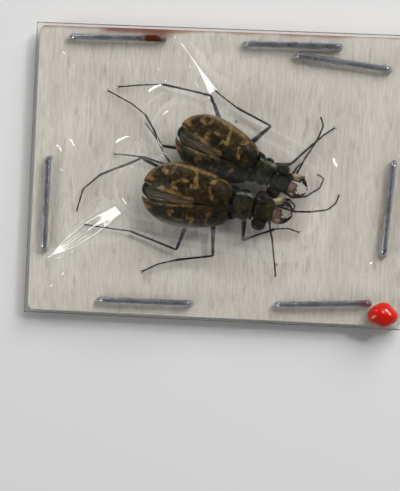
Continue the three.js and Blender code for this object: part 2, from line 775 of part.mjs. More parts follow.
// A drop of red sealing lacquer on the film's corner, lumpy and flat underneath.
function sealSolid() {
  const base = film.restsAt + film.thick + LAYER_GAP;
  const [x, y] = sealDrop.at;
  const [long, short] = sealDrop.radii;
  const lumps = [
    ball([x - 0.15, y, base], [long * 0.85, short, sealDrop.height], 16, 10),
    ball([x + 0.45, y - 0.1, base], [long * 0.55, short * 0.75, sealDrop.height * 0.7], 12, 8),
  ];
  return union(lumps).intersect(slab([x - 3, y - 3, base], [x + 3, y + 3, base + 3]));
}
show(root, "seal_drop", sealSolid(), finishes.seal);

export default root;
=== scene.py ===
# %% [markdown]
# A small tiger beetle, dried and laid on a square of card next to a second one, with a clear
# film stapled down over both. This lesson dresses the plain solids of that packet: first the
# tools that shape things, then the beetles, then what holds them, then finishes and light.
# Lengths are given in millimetres as they lie on the card, and turned to metres at the end.

# %% Load the solids
import math
import random

import bpy
from mathutils import Matrix, Vector, noise


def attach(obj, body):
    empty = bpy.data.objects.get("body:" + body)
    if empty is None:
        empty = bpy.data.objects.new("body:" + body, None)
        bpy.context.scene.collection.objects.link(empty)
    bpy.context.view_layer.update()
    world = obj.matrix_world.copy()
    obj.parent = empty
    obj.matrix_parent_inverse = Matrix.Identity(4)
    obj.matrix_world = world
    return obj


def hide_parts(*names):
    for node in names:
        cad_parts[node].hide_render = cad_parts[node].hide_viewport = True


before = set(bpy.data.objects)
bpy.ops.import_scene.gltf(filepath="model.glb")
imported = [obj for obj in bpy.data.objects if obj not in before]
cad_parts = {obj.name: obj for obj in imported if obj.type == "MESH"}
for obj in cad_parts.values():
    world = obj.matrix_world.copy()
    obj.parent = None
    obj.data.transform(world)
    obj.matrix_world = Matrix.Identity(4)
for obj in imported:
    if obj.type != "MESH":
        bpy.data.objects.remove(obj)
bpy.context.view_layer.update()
print("solids", sorted(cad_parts))

# %% [markdown]
# The solids and the dressed pieces share one frame, so the sizes that carry everything are
# written down once here. From below, the layers are the staples' feet, the card, the film and
# the staples' crowns.

# %% The packet's layers
MM = Matrix.Scale(0.001, 4)
ON_CARD = Matrix.Identity(4)
SIDES = ((1, "left"), (-1, "right"))
CARD = {"long": 27, "short": 20.6, "bottom": 0.55, "top": 1.35}
FILM = {"long": 27.4, "short": 21, "rest": 1.5, "solid": 0.3, "sheet": 0.04}
WIRE = {"radius": 0.2, "top": 2.1}
print("card", CARD["long"], "by", CARD["short"], "film", FILM["long"], "by", FILM["short"])

# %% [markdown]
# Each beetle is shaped in a frame of its own, head to +X, and then laid on the card by a turn,
# a roll and a size. Its legs and feelers dried as they lay there, so their points are given on
# the card: for a leg the knee, the ankle and two on the foot, and for a feeler its bends. The
# third number is the height above the card.


# %% The main beetle
def lying(at, height, heading, roll, size):
    """The way from a beetle's own frame, head to +X and left to +Y, to the card's."""
    place = Matrix.Translation((*at, CARD["top"] + height))
    place @= Matrix.Rotation(math.radians(heading), 4, "Z")
    place @= Matrix.Rotation(math.radians(roll), 4, "X")
    return place @ Matrix.Scale(size, 4)


MAIN = {"name": "beetle", "place": lying((1.15, -2.1), 1.95, -8, 21, 1)}
MAIN["legs"] = {
    "fore_right": [(1.99, -4.61, 0.7), (4.2, -3.72, 0.45), (5.2, -3.62, 0.4), (6.08, -3.92, 0.3)],
    "mid_right": [(-0.1, -5.81, 0.72), (-2.81, -6.25, 0.45), (-4.1, -6.6, 0.4), (-5.36, -7.26, 0.3)],
    "hind_right": [(-2.77, -5.5, 0.66), (-6.14, -4.31, 0.45), (-8, -4.15, 0.4), (-9.76, -3.97, 0.3)],
    "fore_left": [(3.25, -1.88, 0.5), (5.15, -1.55, 0.42), (5.6, -2, 0.4), (5.32, -2.6, 0.3)],
    "mid_left": [(-3.3, 0.45, 0.98), (-5.38, 1.02, 0.66), (-6.46, 1.11, 0.42), (-7.72, 1.16, 0.3)],
    "hind_left": [(-5.37, 0.92, 2.1), (-8.55, -0.39, 0.5), (-9.75, -1.45, 0.42), (-10.2, -3.2, 0.3)],
}
MAIN["feelers"] = {
    "left": [
        (4.9, -2.2, 2.6), (5.7, -2.42, 2.35), (6.8, -2.38, 1.6),
        (7.9, -2.2, 0.95), (8.5, -1.7, 0.6), (8.7, -1.05, 0.42),
    ],
    "right": [(3.98, -3.75, 1.62), (4.14, -4.5, 1.35), (4.3, -5.9, 0.8), (4.43, -7.1, 0.4)],
}
print("main beetle's frame on the card", MAIN["place"].translation)

# %% [markdown]
# The second beetle is a little smaller and lies turned further. It has the same pieces, with
# legs and feelers that lie their own way.

# %% The second beetle
SECOND = {"name": "companion", "place": lying((2.6, 0.58), 1.6, -24, 20, 0.93)}
SECOND["legs"] = {
    "fore_left": [(5.18, 0.95, 0.95), (6.75, 2.5, 0.5), (7.42, 3.15, 0.42), (8.22, 3.73, 0.3)],
    "mid_left": [(3.65, 3.59, 0.95), (1.15, 4.81, 0.5), (-0.3, 5.85, 0.42), (-0.87, 6.4, 0.3)],
    "hind_left": [(-0.76, 5.62, 0.95), (-4.25, 6.29, 0.48), (-5.97, 6.2, 0.42), (-7.73, 5.99, 0.3)],
    "fore_right": [(4.7, -0.6, 0.5), (5.45, 0.45, 0.42), (5.6, 0.75, 0.4), (5.86, 1.05, 0.3)],
    "mid_right": [(-2.6, -0.5, 0.4), (-3.75, 0.95, 0.38), (-4.53, 2.27, 0.42), (-5.49, 3.6, 0.35)],
    "hind_right": [(-4.12, 1.88, 1.22), (-5.4, 4.05, 0.55), (-6.5, 4.85, 0.42), (-8.47, 5.81, 0.3)],
}
SECOND["feelers"] = {
    "left": [(5.5, -0.1, 1.5), (6.2, 1.36, 1.3), (7, 2.77, 0.9), (7.38, 3.79, 0.55), (7.14, 4.43, 0.4)],
    "right": [
        (5.4, -1.45, 1.3), (6.4, -1.29, 0.9), (7.3, -0.65, 0.55), (7.55, 0.06, 0.42), (7.05, 0.34, 0.4),
    ],
}
BEETLES = (MAIN, SECOND)
print("second beetle's frame on the card", SECOND["place"].translation)

# %% [markdown]
# An operator acts on all that is selected, so each piece starts and is finished alone. These
# three helpers see to that: one selects, one adds a primitive, one applies a modifier.


# %% Start a piece and finish it
def only(piece):
    """Selects this piece alone."""
    bpy.ops.object.select_all(action="DESELECT")
    piece.select_set(True)
    bpy.context.view_layer.objects.active = piece


def started(name, add_primitive, **settings):
    """A new primitive under its own name, selected alone."""
    bpy.ops.object.select_all(action="DESELECT")
    add_primitive(**settings)
    piece = bpy.context.object
    piece.name = piece.data.name = name
    return piece


def finish_with(piece, kind, **settings):
    """Adds one modifier and applies it."""
    only(piece)
    modifier = piece.modifiers.new(kind.title(), kind)
    for key, value in settings.items():
        setattr(modifier, key, value)
    bpy.ops.object.modifier_apply(modifier=modifier.name)


# %% [markdown]
# Much of a beetle is round in section: a line drawn beside the long axis, swept round it, and
# pressed a little flat. Blender's Spin does just that. The line is one vertex, extruded on.


# %% Sweep an outline round the long axis
def swept(name, outline, flat=1.0, start=0, arc=360, steps=16, smooth=2):
    """A skin of revolution about X from (x, half width) stations, pressed flat in Z."""
    piece = started(name, bpy.ops.mesh.primitive_plane_add, size=1)
    bpy.ops.object.mode_set(mode="EDIT")
    bpy.ops.mesh.merge(type="CENTER")
    lean = math.radians(start)
    line = [Vector((x, r * math.cos(lean), r * math.sin(lean))) for x, r in outline]
    bpy.ops.transform.translate(value=line[0])
    for a, b in zip(line, line[1:]):
        bpy.ops.mesh.extrude_vertices_move(TRANSFORM_OT_translate={"value": b - a})
    bpy.ops.mesh.select_all(action="SELECT")
    bpy.ops.mesh.spin(steps=steps, angle=math.radians(arc), center=(0, 0, 0), axis=(-1, 0, 0))
    bpy.ops.mesh.select_all(action="SELECT")
    bpy.ops.mesh.remove_doubles(threshold=0.002)
    bpy.ops.mesh.normals_make_consistent(inside=False)
    bpy.ops.object.mode_set(mode="OBJECT")
    piece.scale.z = flat
    bpy.ops.object.transform_apply(location=False, rotation=False, scale=True)
    finish_with(piece, "SUBSURF", levels=smooth, render_levels=smooth)
    bpy.ops.object.shade_smooth()
    return piece


# %% [markdown]
# What isn't swept is a lump, such as an eye or a hip. A ball of rings and segments would show
# its poles, so each is a cube, smoothed three times. Smoothing draws a cube in, and it starts
# that much larger.

# %% Round a lump
CUBE_LOSS = 1.22


def ball(name, centre, radii, rotation=(0, 0, 0)):
    """A rounded lump with the given half sizes."""
    piece = started(name, bpy.ops.mesh.primitive_cube_add, size=2, location=centre, rotation=rotation)
    piece.scale = [r * CUBE_LOSS for r in radii]
    bpy.ops.object.transform_apply(location=True, rotation=True, scale=True)
    finish_with(piece, "SUBSURF", levels=3, render_levels=3)
    bpy.ops.object.shade_smooth()
    return piece


# %% [markdown]
# Legs, feelers and jaws are long and bend. A curve with a round bevel and a radius at each
# of its points makes them quickest, and becomes a mesh once it has its form.


# %% Draw a tapered limb along a path
def limb(name, path, radii, rounds=3, between=1):
    """A closed tube through the path's points, with a radius at each, in millimetres."""
    curve = bpy.data.curves.new(name, "CURVE")
    curve.dimensions = "3D"
    curve.bevel_depth = 1
    curve.bevel_resolution = rounds
    curve.resolution_u = between
    curve.use_fill_caps = True
    spline = curve.splines.new("POLY" if between == 1 else "NURBS")
    spline.points.add(len(path) - 1)
    for point, place, radius in zip(spline.points, path, radii):
        point.co = (*place, 1)
        point.radius = radius
    if between > 1:
        spline.order_u = 3
        spline.use_endpoint_u = True
    piece = bpy.data.objects.new(name, curve)
    bpy.context.collection.objects.link(piece)
    only(piece)
    bpy.ops.object.convert(target="MESH")
    bpy.ops.object.shade_smooth()
    return bpy.context.object


def joined(pieces, name):
    """One object made of several."""
    bpy.ops.object.select_all(action="DESELECT")
    for piece in pieces:
        piece.select_set(True)
    bpy.context.view_layer.objects.active = pieces[0]
    bpy.ops.object.join()
    pieces[0].name = pieces[0].data.name = name
    return pieces[0]


# %% [markdown]
# Some finishes follow a form that the mesh knows and a picture of it would not: how near a
# jaw's tip is, or which tube is a vein. Such a value is kept on the vertices, by name.


# %% Keep a value on a mesh
def ease(share):
    """From 0 to 1 with a soft start and end."""
    share = max(0.0, min(1.0, share))
    return share * share * (3 - 2 * share)


def keep_value(piece, name, rule):
    """Keeps on each vertex what the rule makes of its place."""
    values = piece.data.attributes.new(name, "FLOAT", "POINT")
    for i, vertex in enumerate(piece.data.vertices):
        values.data[i].value = rule(vertex.co)


# %% [markdown]
# Short stiff hairs stand along a tiger beetle's legs and flanks. One hair is a cone of four
# sides; it is copied to each place and turned to its lean, and the copies become one mesh.


# %% Plant one hair many times
def planted(name, roots, long, wide):
    """Hairs at (place, direction) pairs, all one mesh."""
    first = started(
        "one hair", bpy.ops.mesh.primitive_cone_add, vertices=4, radius1=wide, radius2=wide * 0.15, depth=1
    )
    first.data.transform(Matrix.Translation((0, 0, 0.5)))
    hairs = []
    for place, lean in roots:
        hair = bpy.data.objects.new(name, first.data.copy())
        bpy.context.collection.objects.link(hair)
        turn = Vector(lean).to_track_quat("Z", "X").to_matrix().to_4x4()
        reach = long * random.uniform(0.7, 1.1)
        hair.data.transform(Matrix.Translation(place) @ turn @ Matrix.Diagonal((1, 1, reach, 1)))
        hairs.append(hair)
    bpy.data.objects.remove(first)
    return joined(hairs, name)


# %% [markdown]
# Every finished piece is handed over the same way: its place goes into its mesh, in metres,
# then it is noted for its finish, rides on the packet and hides the solid it stands for.
# The main beetle has a solid for each piece. The second is one solid, which its thorax takes.


# %% Hand a piece over
WEARERS = {}


def hand_over(piece, place, part, stands_for=None):
    piece.data.transform(MM @ place)
    piece.data.update()
    piece.data.materials.clear()
    WEARERS.setdefault(part, []).append(piece)
    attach(piece, "root")
    if stands_for:
        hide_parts(stands_for)
    print(f"{piece.name}: {len(piece.data.polygons)} faces")


def solid_of(beetle, node, otherwise=None):
    """The solid that a beetle's piece stands for."""
    return node if beetle is MAIN else otherwise


# %% [markdown]
# The wing cases carry the pattern that names the beetle: yellowish lines and loops on dark
# bronze. Each case is a quarter sweep of one outline, from the rolled lower edge up to the
# seam, and the pattern is drawn on it as curves in two measures: x along the case, and the
# share of the way from seam to edge. The left case lies higher and shows a wider pale margin.

# %% The wing cases' outline and pattern
CASE = [
    (0.05, 0.35), (0.03, 0.85), (-0.04, 1.2), (-0.45, 1.63), (-1.0, 1.82), (-1.6, 1.94),
    (-2.4, 2.05), (-3.2, 2.1), (-3.9, 2.07), (-4.5, 1.96), (-5.05, 1.74), (-5.5, 1.45),
    (-5.85, 1.12), (-6.12, 0.76), (-6.3, 0.36), (-6.35, 0.06),
]
CASE_FLAT = 1.25 / 2.1
CASE_WALL = 0.09
APEX = {"from": -5.2, "over": 0.9}
SWING = {"hinge": -0.3, "angle": math.radians(5.5), "shut to": -1.4, "opens over": 2.6}
PATTERN = {
    "shoulder lunule": (0.1, [
        (-0.1, 0.97), (-0.38, 0.88), (-0.84, 0.86), (-1.24, 0.75), (-1.6, 0.52), (-1.56, 0.38), (-1.4, 0.24),
    ]),
    "lunule's end": (0.15, [(-1.38, 0.24), (-1.3, 0.21)]),
    "edge band": (0.24, [(-1.62, 0.85), (-2.61, 0.84), (-3.37, 0.85), (-4.11, 0.87), (-4.7, 0.93)]),
    "middle bar": (0.09, [(-2.8, 0.86), (-2.72, 0.7), (-2.68, 0.52), (-2.58, 0.38), (-2.85, 0.3)]),
    "bar's foot": (0.15, [(-2.85, 0.31), (-2.5, 0.34)]),
    "disc hook": (0.11, [
        (-3.3, 0.42), (-3.64, 0.4), (-3.9, 0.35), (-4.1, 0.28), (-4.14, 0.22), (-3.88, 0.16),
    ]),
    "rear loop": (0.13, [
        (-5.1, 0.86), (-5.06, 0.66), (-4.85, 0.52), (-4.58, 0.48), (-4.4, 0.56), (-4.36, 0.74),
    ]),
    "tip lunule": (0.2, [(-5.2, 0.96), (-5.6, 0.86), (-5.9, 0.66), (-6.1, 0.4), (-5.78, 0.3)]),
    "seam": (0.075, [(-2.3, 0.0), (-3.5, 0.02), (-4.6, 0.03), (-5.6, 0.05), (-6.3, 0.1)]),
}
LEFT_MARGIN = (0.12, [(-2.7, 0.03), (-3.4, 0.05), (-4.2, 0.07), (-5.0, 0.09)])
ACROSS = 2.7
BLUR = 0.24
WANDERS = [(0.14, 3, 7, 3.7), (0.1, 11, 24, 8.1)]
print("marks on a wing case:", ", ".join(PATTERN))

# %% [markdown]
# How pale a vertex is comes from how near it lies to a curve. The distance is let wander by
# two noises, so that no mark is ruled, and fades over a short slope.


# %% Draw the pattern
def nearest_on(point, start, end):
    """How far along a stretch a point stands, from 0 to 1, and the nearest place on it."""
    line = end - start
    held = max(0.0, min(1.0, (point - start).dot(line) / line.length_squared))
    return held, start.lerp(end, held)


def away_from(point, path):
    """The distance from a point to a path, in two dimensions."""
    stretches = zip(map(Vector, path), map(Vector, path[1:]))
    return min((point - nearest_on(point, a, b)[1]).length for a, b in stretches)


def from_seam(point, side):
    """The share of the way from the seam to the lower edge."""
    return 1 - math.atan2(point.z / CASE_FLAT, point.y * side) / (math.pi / 2)


def draw_pattern(case, side):
    """Keeps on each vertex how pale it is, from 0 to 1, as the attribute pale."""
    lines = [*PATTERN.values(), LEFT_MARGIN] if side > 0 else PATTERN.values()
    curves = [(wide, [(x, share * ACROSS) for x, share in path]) for wide, path in lines]

    def pale(point):
        x, share = point.x, from_seam(point, side)
        wander = sum(high * noise.noise((x * a, share * b, c)) for high, a, b, c in WANDERS)
        unrolled = Vector((x, share * ACROSS))
        inside = max(wide - away_from(unrolled, path) for wide, path in curves) + wander
        return max(0.0, min(1.0, 0.5 + inside / BLUR))

    keep_value(case, "pale", pale)


# %% [markdown]
# The two cases stand a little open behind. Each is swung out round its shoulder, and the
# front of its seam is drawn back to its twin, so that the gap starts a third of the way back.


# %% The wing cases
def wing_case(side, name):
    case = swept(name, CASE, CASE_FLAT, start=-10, arc=99, steps=10, smooth=3)
    if side < 0:
        case.data.transform(Matrix.Scale(-1, 4, (0, 1, 0)))
        case.data.flip_normals()
    draw_pattern(case, side)
    keep_value(case, "apex", lambda point: ease((APEX["from"] - point.x) / APEX["over"]))
    finish_with(case, "SOLIDIFY", thickness=CASE_WALL, offset=-1)
    hinge = Matrix.Translation((SWING["hinge"], side, 0))
    swing = Matrix.Rotation(-SWING["angle"] * side, 4, "Z")
    case.data.transform(hinge @ swing @ hinge.inverted())
    for vertex in case.data.vertices:
        x = vertex.co.x
        opening = max(0, SWING["hinge"] - x) * math.tan(SWING["angle"])
        shut = 1 - ease((SWING["shut to"] - x) / SWING["opens over"])
        vertex.co.y -= side * opening * shut * max(0, 1 - from_seam(vertex.co, side) * 1.4)
    return case


for beetle in BEETLES:
    for side, word in SIDES:
        case = wing_case(side, f"{beetle['name']}_wing_case_{word}")
        hand_over(case, beetle["place"], "wing case", solid_of(beetle, f"elytron_{word}"))

# %% [markdown]
# Between the cases lie the folded flying wings, brown and veined. Each is a shallower sweep of
# the same kind as a case, pleated lengthwise, with veins drawn along it as thin tubes. The
# value vein tells the finish which part of the mesh is one.

# %% Folded wings
WING_FOLD = [
    (-1.0, 0.4), (-1.1, 1.1), (-2.0, 1.45), (-3.2, 1.62), (-4.4, 1.5), (-5.3, 1.12), (-5.9, 0.7),
    (-6.3, 0.2), (-6.35, 0.0),
]
WING_FLAT = 0.66
WING_ARCS = {1: (12, 76), -1: (86, 82)}
PLEAT = {"high": 0.012, "often": 34}
VEINS = [(-1.6, -6.1, 0.1, 0.3), (-1.6, -6.0, 0.24, 0.38), (-1.6, -5.7, 0.38, 0.44), (-3.4, -5.4, 0.17, 0.2)]


def on_fold(x, share):
    """A point on the folded wing, at a share of the way from left edge to right edge."""
    for (x0, r0), (x1, r1) in zip(WING_FOLD[1:], WING_FOLD[2:]):
        if x1 <= x <= x0:
            wide = r0 + (r1 - r0) * (x0 - x) / (x0 - x1)
            break
    turn = math.pi * (0.12 + 0.76 * share)
    return (x, wide * math.cos(turn), wide * math.sin(turn) * WING_FLAT)


def folded_wing(side, name):
    """One folded wing, pleated lengthwise, with its veins."""
    start, arc = WING_ARCS[side]
    fold = swept(name, WING_FOLD, WING_FLAT, start=start, arc=arc, steps=8, smooth=3)
    for vertex in fold.data.vertices:
        x, y, z = vertex.co
        pleat = math.sin(math.atan2(z, y) * PLEAT["often"])
        vertex.co *= 1 + PLEAT["high"] * pleat * min(1, (-1 - x) * 0.6)
    finish_with(fold, "SOLIDIFY", thickness=0.05, offset=-1)
    keep_value(fold, "vein", lambda point: 0)
    veins = []
    for first, last, near, far in VEINS:
        near, far = (near, far) if side > 0 else (1 - near, 1 - far)
        steps = [i / 9 for i in range(10)]
        path = [on_fold(first + (last - first) * t, near + (far - near) * t) for t in steps]
        veins.append(limb(name + "_vein", path, [0.05 - 0.02 * t for t in steps], rounds=1))
        keep_value(veins[-1], "vein", lambda point: 1)
    return joined([fold, *veins], name)


# %% [markdown]
# Under the wings lies the abdomen, whose rings overlap backwards. An outline with small steps,
# swept round, gives the rings. The thorax is a barrel, with the hips of the legs and the side
# plates as lumps, and a small three-cornered plate on top that shows between the cases.

# %% Thorax and abdomen
ABDOMEN = [
    (-2.9, 0.7), (-2.95, 1.5), (-3.7, 1.58), (-3.74, 1.5), (-4.5, 1.52), (-4.54, 1.42), (-5.2, 1.28),
    (-5.24, 1.18), (-5.7, 0.96), (-5.74, 0.86), (-6.08, 0.66), (-6.12, 0.54), (-6.4, 0.42), (-6.52, 0.0),
]
THORAX = [
    (0.25, 0.0), (0.2, 0.5), (0.0, 0.72), (-0.5, 1.22), (-1.3, 1.5), (-1.4, 1.42), (-2.7, 1.56),
    (-2.98, 1.35), (-3.0, 0.0),
]
SCUTELLUM = [(0.14, 0.0), (0.12, 0.34), (-0.1, 0.28), (-0.45, 0.06), (-0.5, 0.0)]
HIPS_AND_PLATES = [
    ("fore hip", (0.88, 0.74, -0.5), (0.42, 0.38, 0.36), 0),
    ("mid hip", (-1.35, 0.52, -0.78), (0.42, 0.4, 0.26), 0.5),
    ("hind hip", (-2.55, 0.52, -0.78), (0.42, 0.4, 0.26), 0.5),
    ("side plate", (-0.02, 0.9, -0.35), (0.55, 0.36, 0.4), 0),
]


def under_body(name):
    """Thorax with hips and side plates below the wing cases, and the small plate between them."""
    body = swept(name, THORAX, 0.68, steps=20)
    plates = [
        ball(word, (x, y * side, z), radii, (0, 0, turn * side))
        for word, (x, y, z), radii, turn in HIPS_AND_PLATES
        for side in (1, -1)
    ]
    scutellum = swept("scutellum", SCUTELLUM, 0.45, steps=10)
    scutellum.data.transform(Matrix.Translation((0, 0, 0.66)))
    return joined([body, *plates, scutellum], name)


for beetle in BEETLES:
    thorax = under_body(beetle["name"] + "_thorax")
    solid = solid_of(beetle, "thorax", "companion_beetle")
    hand_over(thorax, beetle["place"], "underside", solid)
    abdomen = swept(beetle["name"] + "_abdomen", ABDOMEN, 0.54, steps=20)
    hand_over(abdomen, beetle["place"], "abdomen", solid_of(beetle, "abdomen"))
    for side, word in SIDES:
        wing = folded_wing(side, f"{beetle['name']}_folded_wing_{word}")
        hand_over(wing, beetle["place"], "wing", solid_of(beetle, f"hind_wing_{word}"))

# %% [markdown]
# The pronotum is a short barrel, waisted by a groove near each end, with a fine furrow along
# its middle. It is a sweep again. Its fine wrinkles, and a highlight painted along them, are
# left to the finish, which follows the value stripe.

# %% Pronotum
PRONOTUM = [
    (0.1, 0.0), (0.1, 0.62), (0.15, 0.86), (0.27, 0.9), (0.35, 0.78), (0.43, 0.79), (0.65, 0.94),
    (0.92, 1.0), (1.16, 0.93), (1.3, 0.79), (1.37, 0.78), (1.46, 0.88), (1.55, 0.86), (1.64, 0.6),
    (1.64, 0.0),
]


def hollow(piece, middle, long, wide, deep, power):
    """Sinks a soft hollow into the upper side."""
    for vertex in piece.data.vertices:
        x, y, z = vertex.co
        if z > 0:
            across = math.exp(-((y / wide) ** 2))
            vertex.co.z -= deep * across * math.exp(-(((x - middle) / long) ** power))


def pronotum(name):
    piece = swept(name, PRONOTUM, 0.88, steps=20)
    hollow(piece, 0.86, 0.42, wide=0.06, deep=0.035, power=4)
    keep_value(piece, "stripe", lambda point: point.x * 42 + 3 * noise.noise(point * 2.2))
    return piece


# %% [markdown]
# The eyes are smooth bulging lumps. Where each stands out of the head, a rim of cuticle runs
# round it, drawn as a limb that closes on itself.

# %% Eyes and their rims
EYE = {"at": (2.16, 1.04, 0.22), "radii": (0.5, 0.42, 0.47)}
RIM = {"long": 0.5, "high": 0.46, "bow": 0.05, "inward": 0.18, "girth": 0.06, "steps": 16}


def eye_rim(side):
    """A ring of cuticle where the eye stands out of the head."""
    x, y, z = EYE["at"]
    turns = [i * math.tau / RIM["steps"] for i in range(RIM["steps"] + 1)]
    ring = [
        (
            x + RIM["long"] * math.cos(t),
            side * (y - RIM["inward"] + RIM["bow"] * math.sin(t)),
            z + RIM["high"] * math.sin(t),
        )
        for t in turns
    ]
    return limb("eye rim", ring, [RIM["girth"]] * len(ring), rounds=2)


# %% [markdown]
# Below the jaws hang two pairs of palps, which feel what the jaws hold. They are too thin and
# bent for a sweep, so each is a row of short limbs, thickest near the far joint.

# %% Palps
PALPS = [
    [(2.6, 0.3, -0.45), (2.95, 0.5, -0.85), (3.3, 0.66, -1.0), (3.62, 0.74, -1.02), (3.82, 0.78, -0.98)],
    [(2.75, 0.16, -0.5), (3.1, 0.24, -0.72), (3.5, 0.34, -0.76), (3.72, 0.38, -0.7)],
]


def palps():
    """Two pairs of palps, in jointed lengths that thicken towards each joint."""
    lengths = []
    for side in (1, -1):
        for path in PALPS:
            path = [(x, y * side, z) for x, y, z in path]
            for a, b in zip(path, path[1:]):
                thickest = Vector(a).lerp(Vector(b), 0.75)
                lengths.append(limb("palp", [a, thickest, b], [0.045, 0.075, 0.05], rounds=2))
    return lengths


# %% [markdown]
# The skull is a sweep too, pressed flat and hollowed between the eyes. It carries the rims and
# the palps, a face plate in front and a cheek on each side, and its fine ridges run forwards.

# %% Head
HEAD = [
    (1.58, 0.0), (1.6, 0.55), (1.72, 0.74), (1.92, 0.88), (2.2, 0.94), (2.5, 0.9), (2.75, 0.78),
    (2.95, 0.62), (3.08, 0.46), (3.12, 0.25), (3.12, 0.0),
]


def head(name):
    """Skull with face plate, eye rims, cheeks and palps."""
    skull = swept("skull", HEAD, 0.6, steps=20)
    hollow(skull, 2.2, 0.38, wide=0.5, deep=0.1, power=2)
    face = ball("face plate", (2.9, 0, 0.1), (0.24, 0.6, 0.26))
    rims = [eye_rim(side) for side in (1, -1)]
    cheeks = [ball("cheek", (2.66, 0.6 * side, -0.2), (0.4, 0.26, 0.24)) for side in (1, -1)]
    keep_value(skull, "stripe", lambda point: point.y * 70 + 2 * noise.noise(point * 1.5))
    return joined([skull, face, *rims, *cheeks, *palps()], name)


for beetle in BEETLES:
    neck_plate = pronotum(beetle["name"] + "_pronotum")
    hand_over(neck_plate, beetle["place"], "pronotum", solid_of(beetle, "pronotum"))
    skull = head(beetle["name"] + "_head")
    hand_over(skull, beetle["place"], "head", solid_of(beetle, "head"))
    for side, word in SIDES:
        x, y, z = EYE["at"]
        eye = ball(f"{beetle['name']}_eye_{word}", (x, y * side, z), EYE["radii"])
        hand_over(eye, beetle["place"], "eye", solid_of(beetle, f"eye_{word}"))

# %% [markdown]
# The jaws are long sickles that cross in front, with two teeth inside. Each is a bent limb, its
# teeth are short ones, and the whole is pressed a little flat. The value tip says where the
# horn turns dark: towards the point, and sooner along the inner edge.

# %% Jaws
JAW = [
    (2.85, 0.5, -0.36), (3.15, 0.74, -0.4), (3.5, 0.82, -0.42), (3.85, 0.74, -0.44),
    (4.15, 0.5, -0.46), (4.34, 0.26, -0.48), (4.42, 0.12, -0.5),
]
JAW_GIRTH = [0.24, 0.25, 0.2, 0.16, 0.11, 0.07, 0.03]
TEETH = [((3.62, 0.74, -0.42), (3.66, 0.42, -0.44), 0.12), ((3.9, 0.66, -0.44), (3.94, 0.36, -0.45), 0.09)]
DARK = {"from": 3.25, "over": 0.55, "inside": 0.55, "more": 0.4}


def darkness(point):
    inner = DARK["more"] if abs(point.y) < DARK["inside"] else 0
    return ease((point.x - DARK["from"]) / DARK["over"] + inner)


def jaw(side, name):
    """A sickle with its teeth, pressed a little flat; tip says where it is dark."""
    path = [(x, y * side, z) for x, y, z in JAW]
    parts = [limb("sickle", path, JAW_GIRTH, rounds=3, between=4)]
    for root, tip, girth in TEETH:
        root, tip = [Vector((x, y * side, z)) for x, y, z in (root, tip)]
        parts.append(limb("tooth", [root, root.lerp(tip, 0.6), tip], [girth, girth * 0.7, 0.02]))
    piece = joined(parts, name)
    keep_value(piece, "tip", darkness)
    piece.data.transform(Matrix.Translation((0, 0, -0.13)) @ Matrix.Diagonal((1, 1, 0.7, 1)))
    return piece


# %% [markdown]
# A dull plate, the labrum, roofs the jaws. It starts as a flat grid, whose front row is drawn
# out into three teeth. It narrows forwards and arches, and then gets its thickness and is
# smoothed.

# %% Labrum
LIP = {"at": (3.26, 0, 0.26), "long": 0.62, "wide": 0.86, "thick": 0.1}
FRONT = {"deep": 0.02, "bow": 0.12, "teeth": 0.05, "tooth every": 0.98 / 3}


def labrum(name):
    """The lip: a thin arched plate with three teeth along its front edge."""
    plate = started(name, bpy.ops.mesh.primitive_grid_add, x_subdivisions=6, y_subdivisions=8, size=1)
    size = Matrix.Diagonal((LIP["long"], LIP["wide"], 1, 1))
    plate.data.transform(Matrix.Translation(LIP["at"]) @ size)
    front = max(v.co.x for v in plate.data.vertices)
    for vertex in plate.data.vertices:
        x, y, z = vertex.co
        if x > front - FRONT["deep"]:
            vertex.co.x += FRONT["bow"] * math.cos(y * 2.2)
            vertex.co.x += FRONT["teeth"] * math.cos(y * math.tau / FRONT["tooth every"])
        vertex.co.y *= 1 - 0.5 * max(0, x - 3.2) ** 1.5
        vertex.co.z -= 0.28 * (x - 2.97) ** 2 + 0.6 * y * y
    finish_with(plate, "SOLIDIFY", thickness=LIP["thick"], offset=0)
    finish_with(plate, "SUBSURF", levels=2, render_levels=2)
    bpy.ops.object.shade_smooth()
    keep_value(plate, "tip", lambda p: max(ease((p.x - 3.5) / 0.14), ease((abs(p.y) - 0.3) / 0.12)))
    return plate


for beetle in BEETLES:
    lip = labrum(beetle["name"] + "_labrum")
    hand_over(lip, beetle["place"], "labrum", solid_of(beetle, "labrum"))
    for side, word in SIDES:
        piece = jaw(side, f"{beetle['name']}_jaw_{word}")
        hand_over(piece, beetle["place"], "jaw", solid_of(beetle, f"mandible_{word}"))

# %% [markdown]
# A leg is a stout, spindle-shaped femur, a thin straight tibia with two rows of bristles and
# two spurs, and a tarsus of five short joints with a pair of claws. Each length is a limb
# between two points on the card, and the bristles are planted along it.

# %% Measures of a leg
HIPS = {"fore": (0.95, 0.42, -0.72), "mid": (-1.35, 0.72, -0.9), "hind": (-2.6, 0.5, -0.95)}
THIGH = {0: 0.1, 0.08: 0.16, 0.3: 0.2, 0.55: 0.165, 0.8: 0.12, 0.95: 0.12, 1.0: 0.08}
THIGH_SAG = Vector((0, 0, 0.06))
SHIN = {0: 0.06, 0.06: 0.085, 0.5: 0.07, 0.9: 0.08, 1: 0.09}
TOE_GIRTH = (0.04, 0.048, 0.062)
TOES_IN_FOOT = 5.4
CLAW = [(0, 0, 0), (0.12, 0.09, 0), (0.24, 0.1, -0.05)]
CLAW_GIRTH = (0.03, 0.022, 0.006)
SPUR, BRISTLE, HAIR, FOOT_BRISTLE = (0.28, 0.028), (0.2, 0.012), (0.2, 0.009), (0.1, 0.01)
print("legs", [word for beetle in BEETLES for word in beetle["legs"]])

# %% [markdown]
# A foot or a feeler is a bent path. Its joints are spaced by their share of the path's length,
# so that they keep their proportions however it lies.


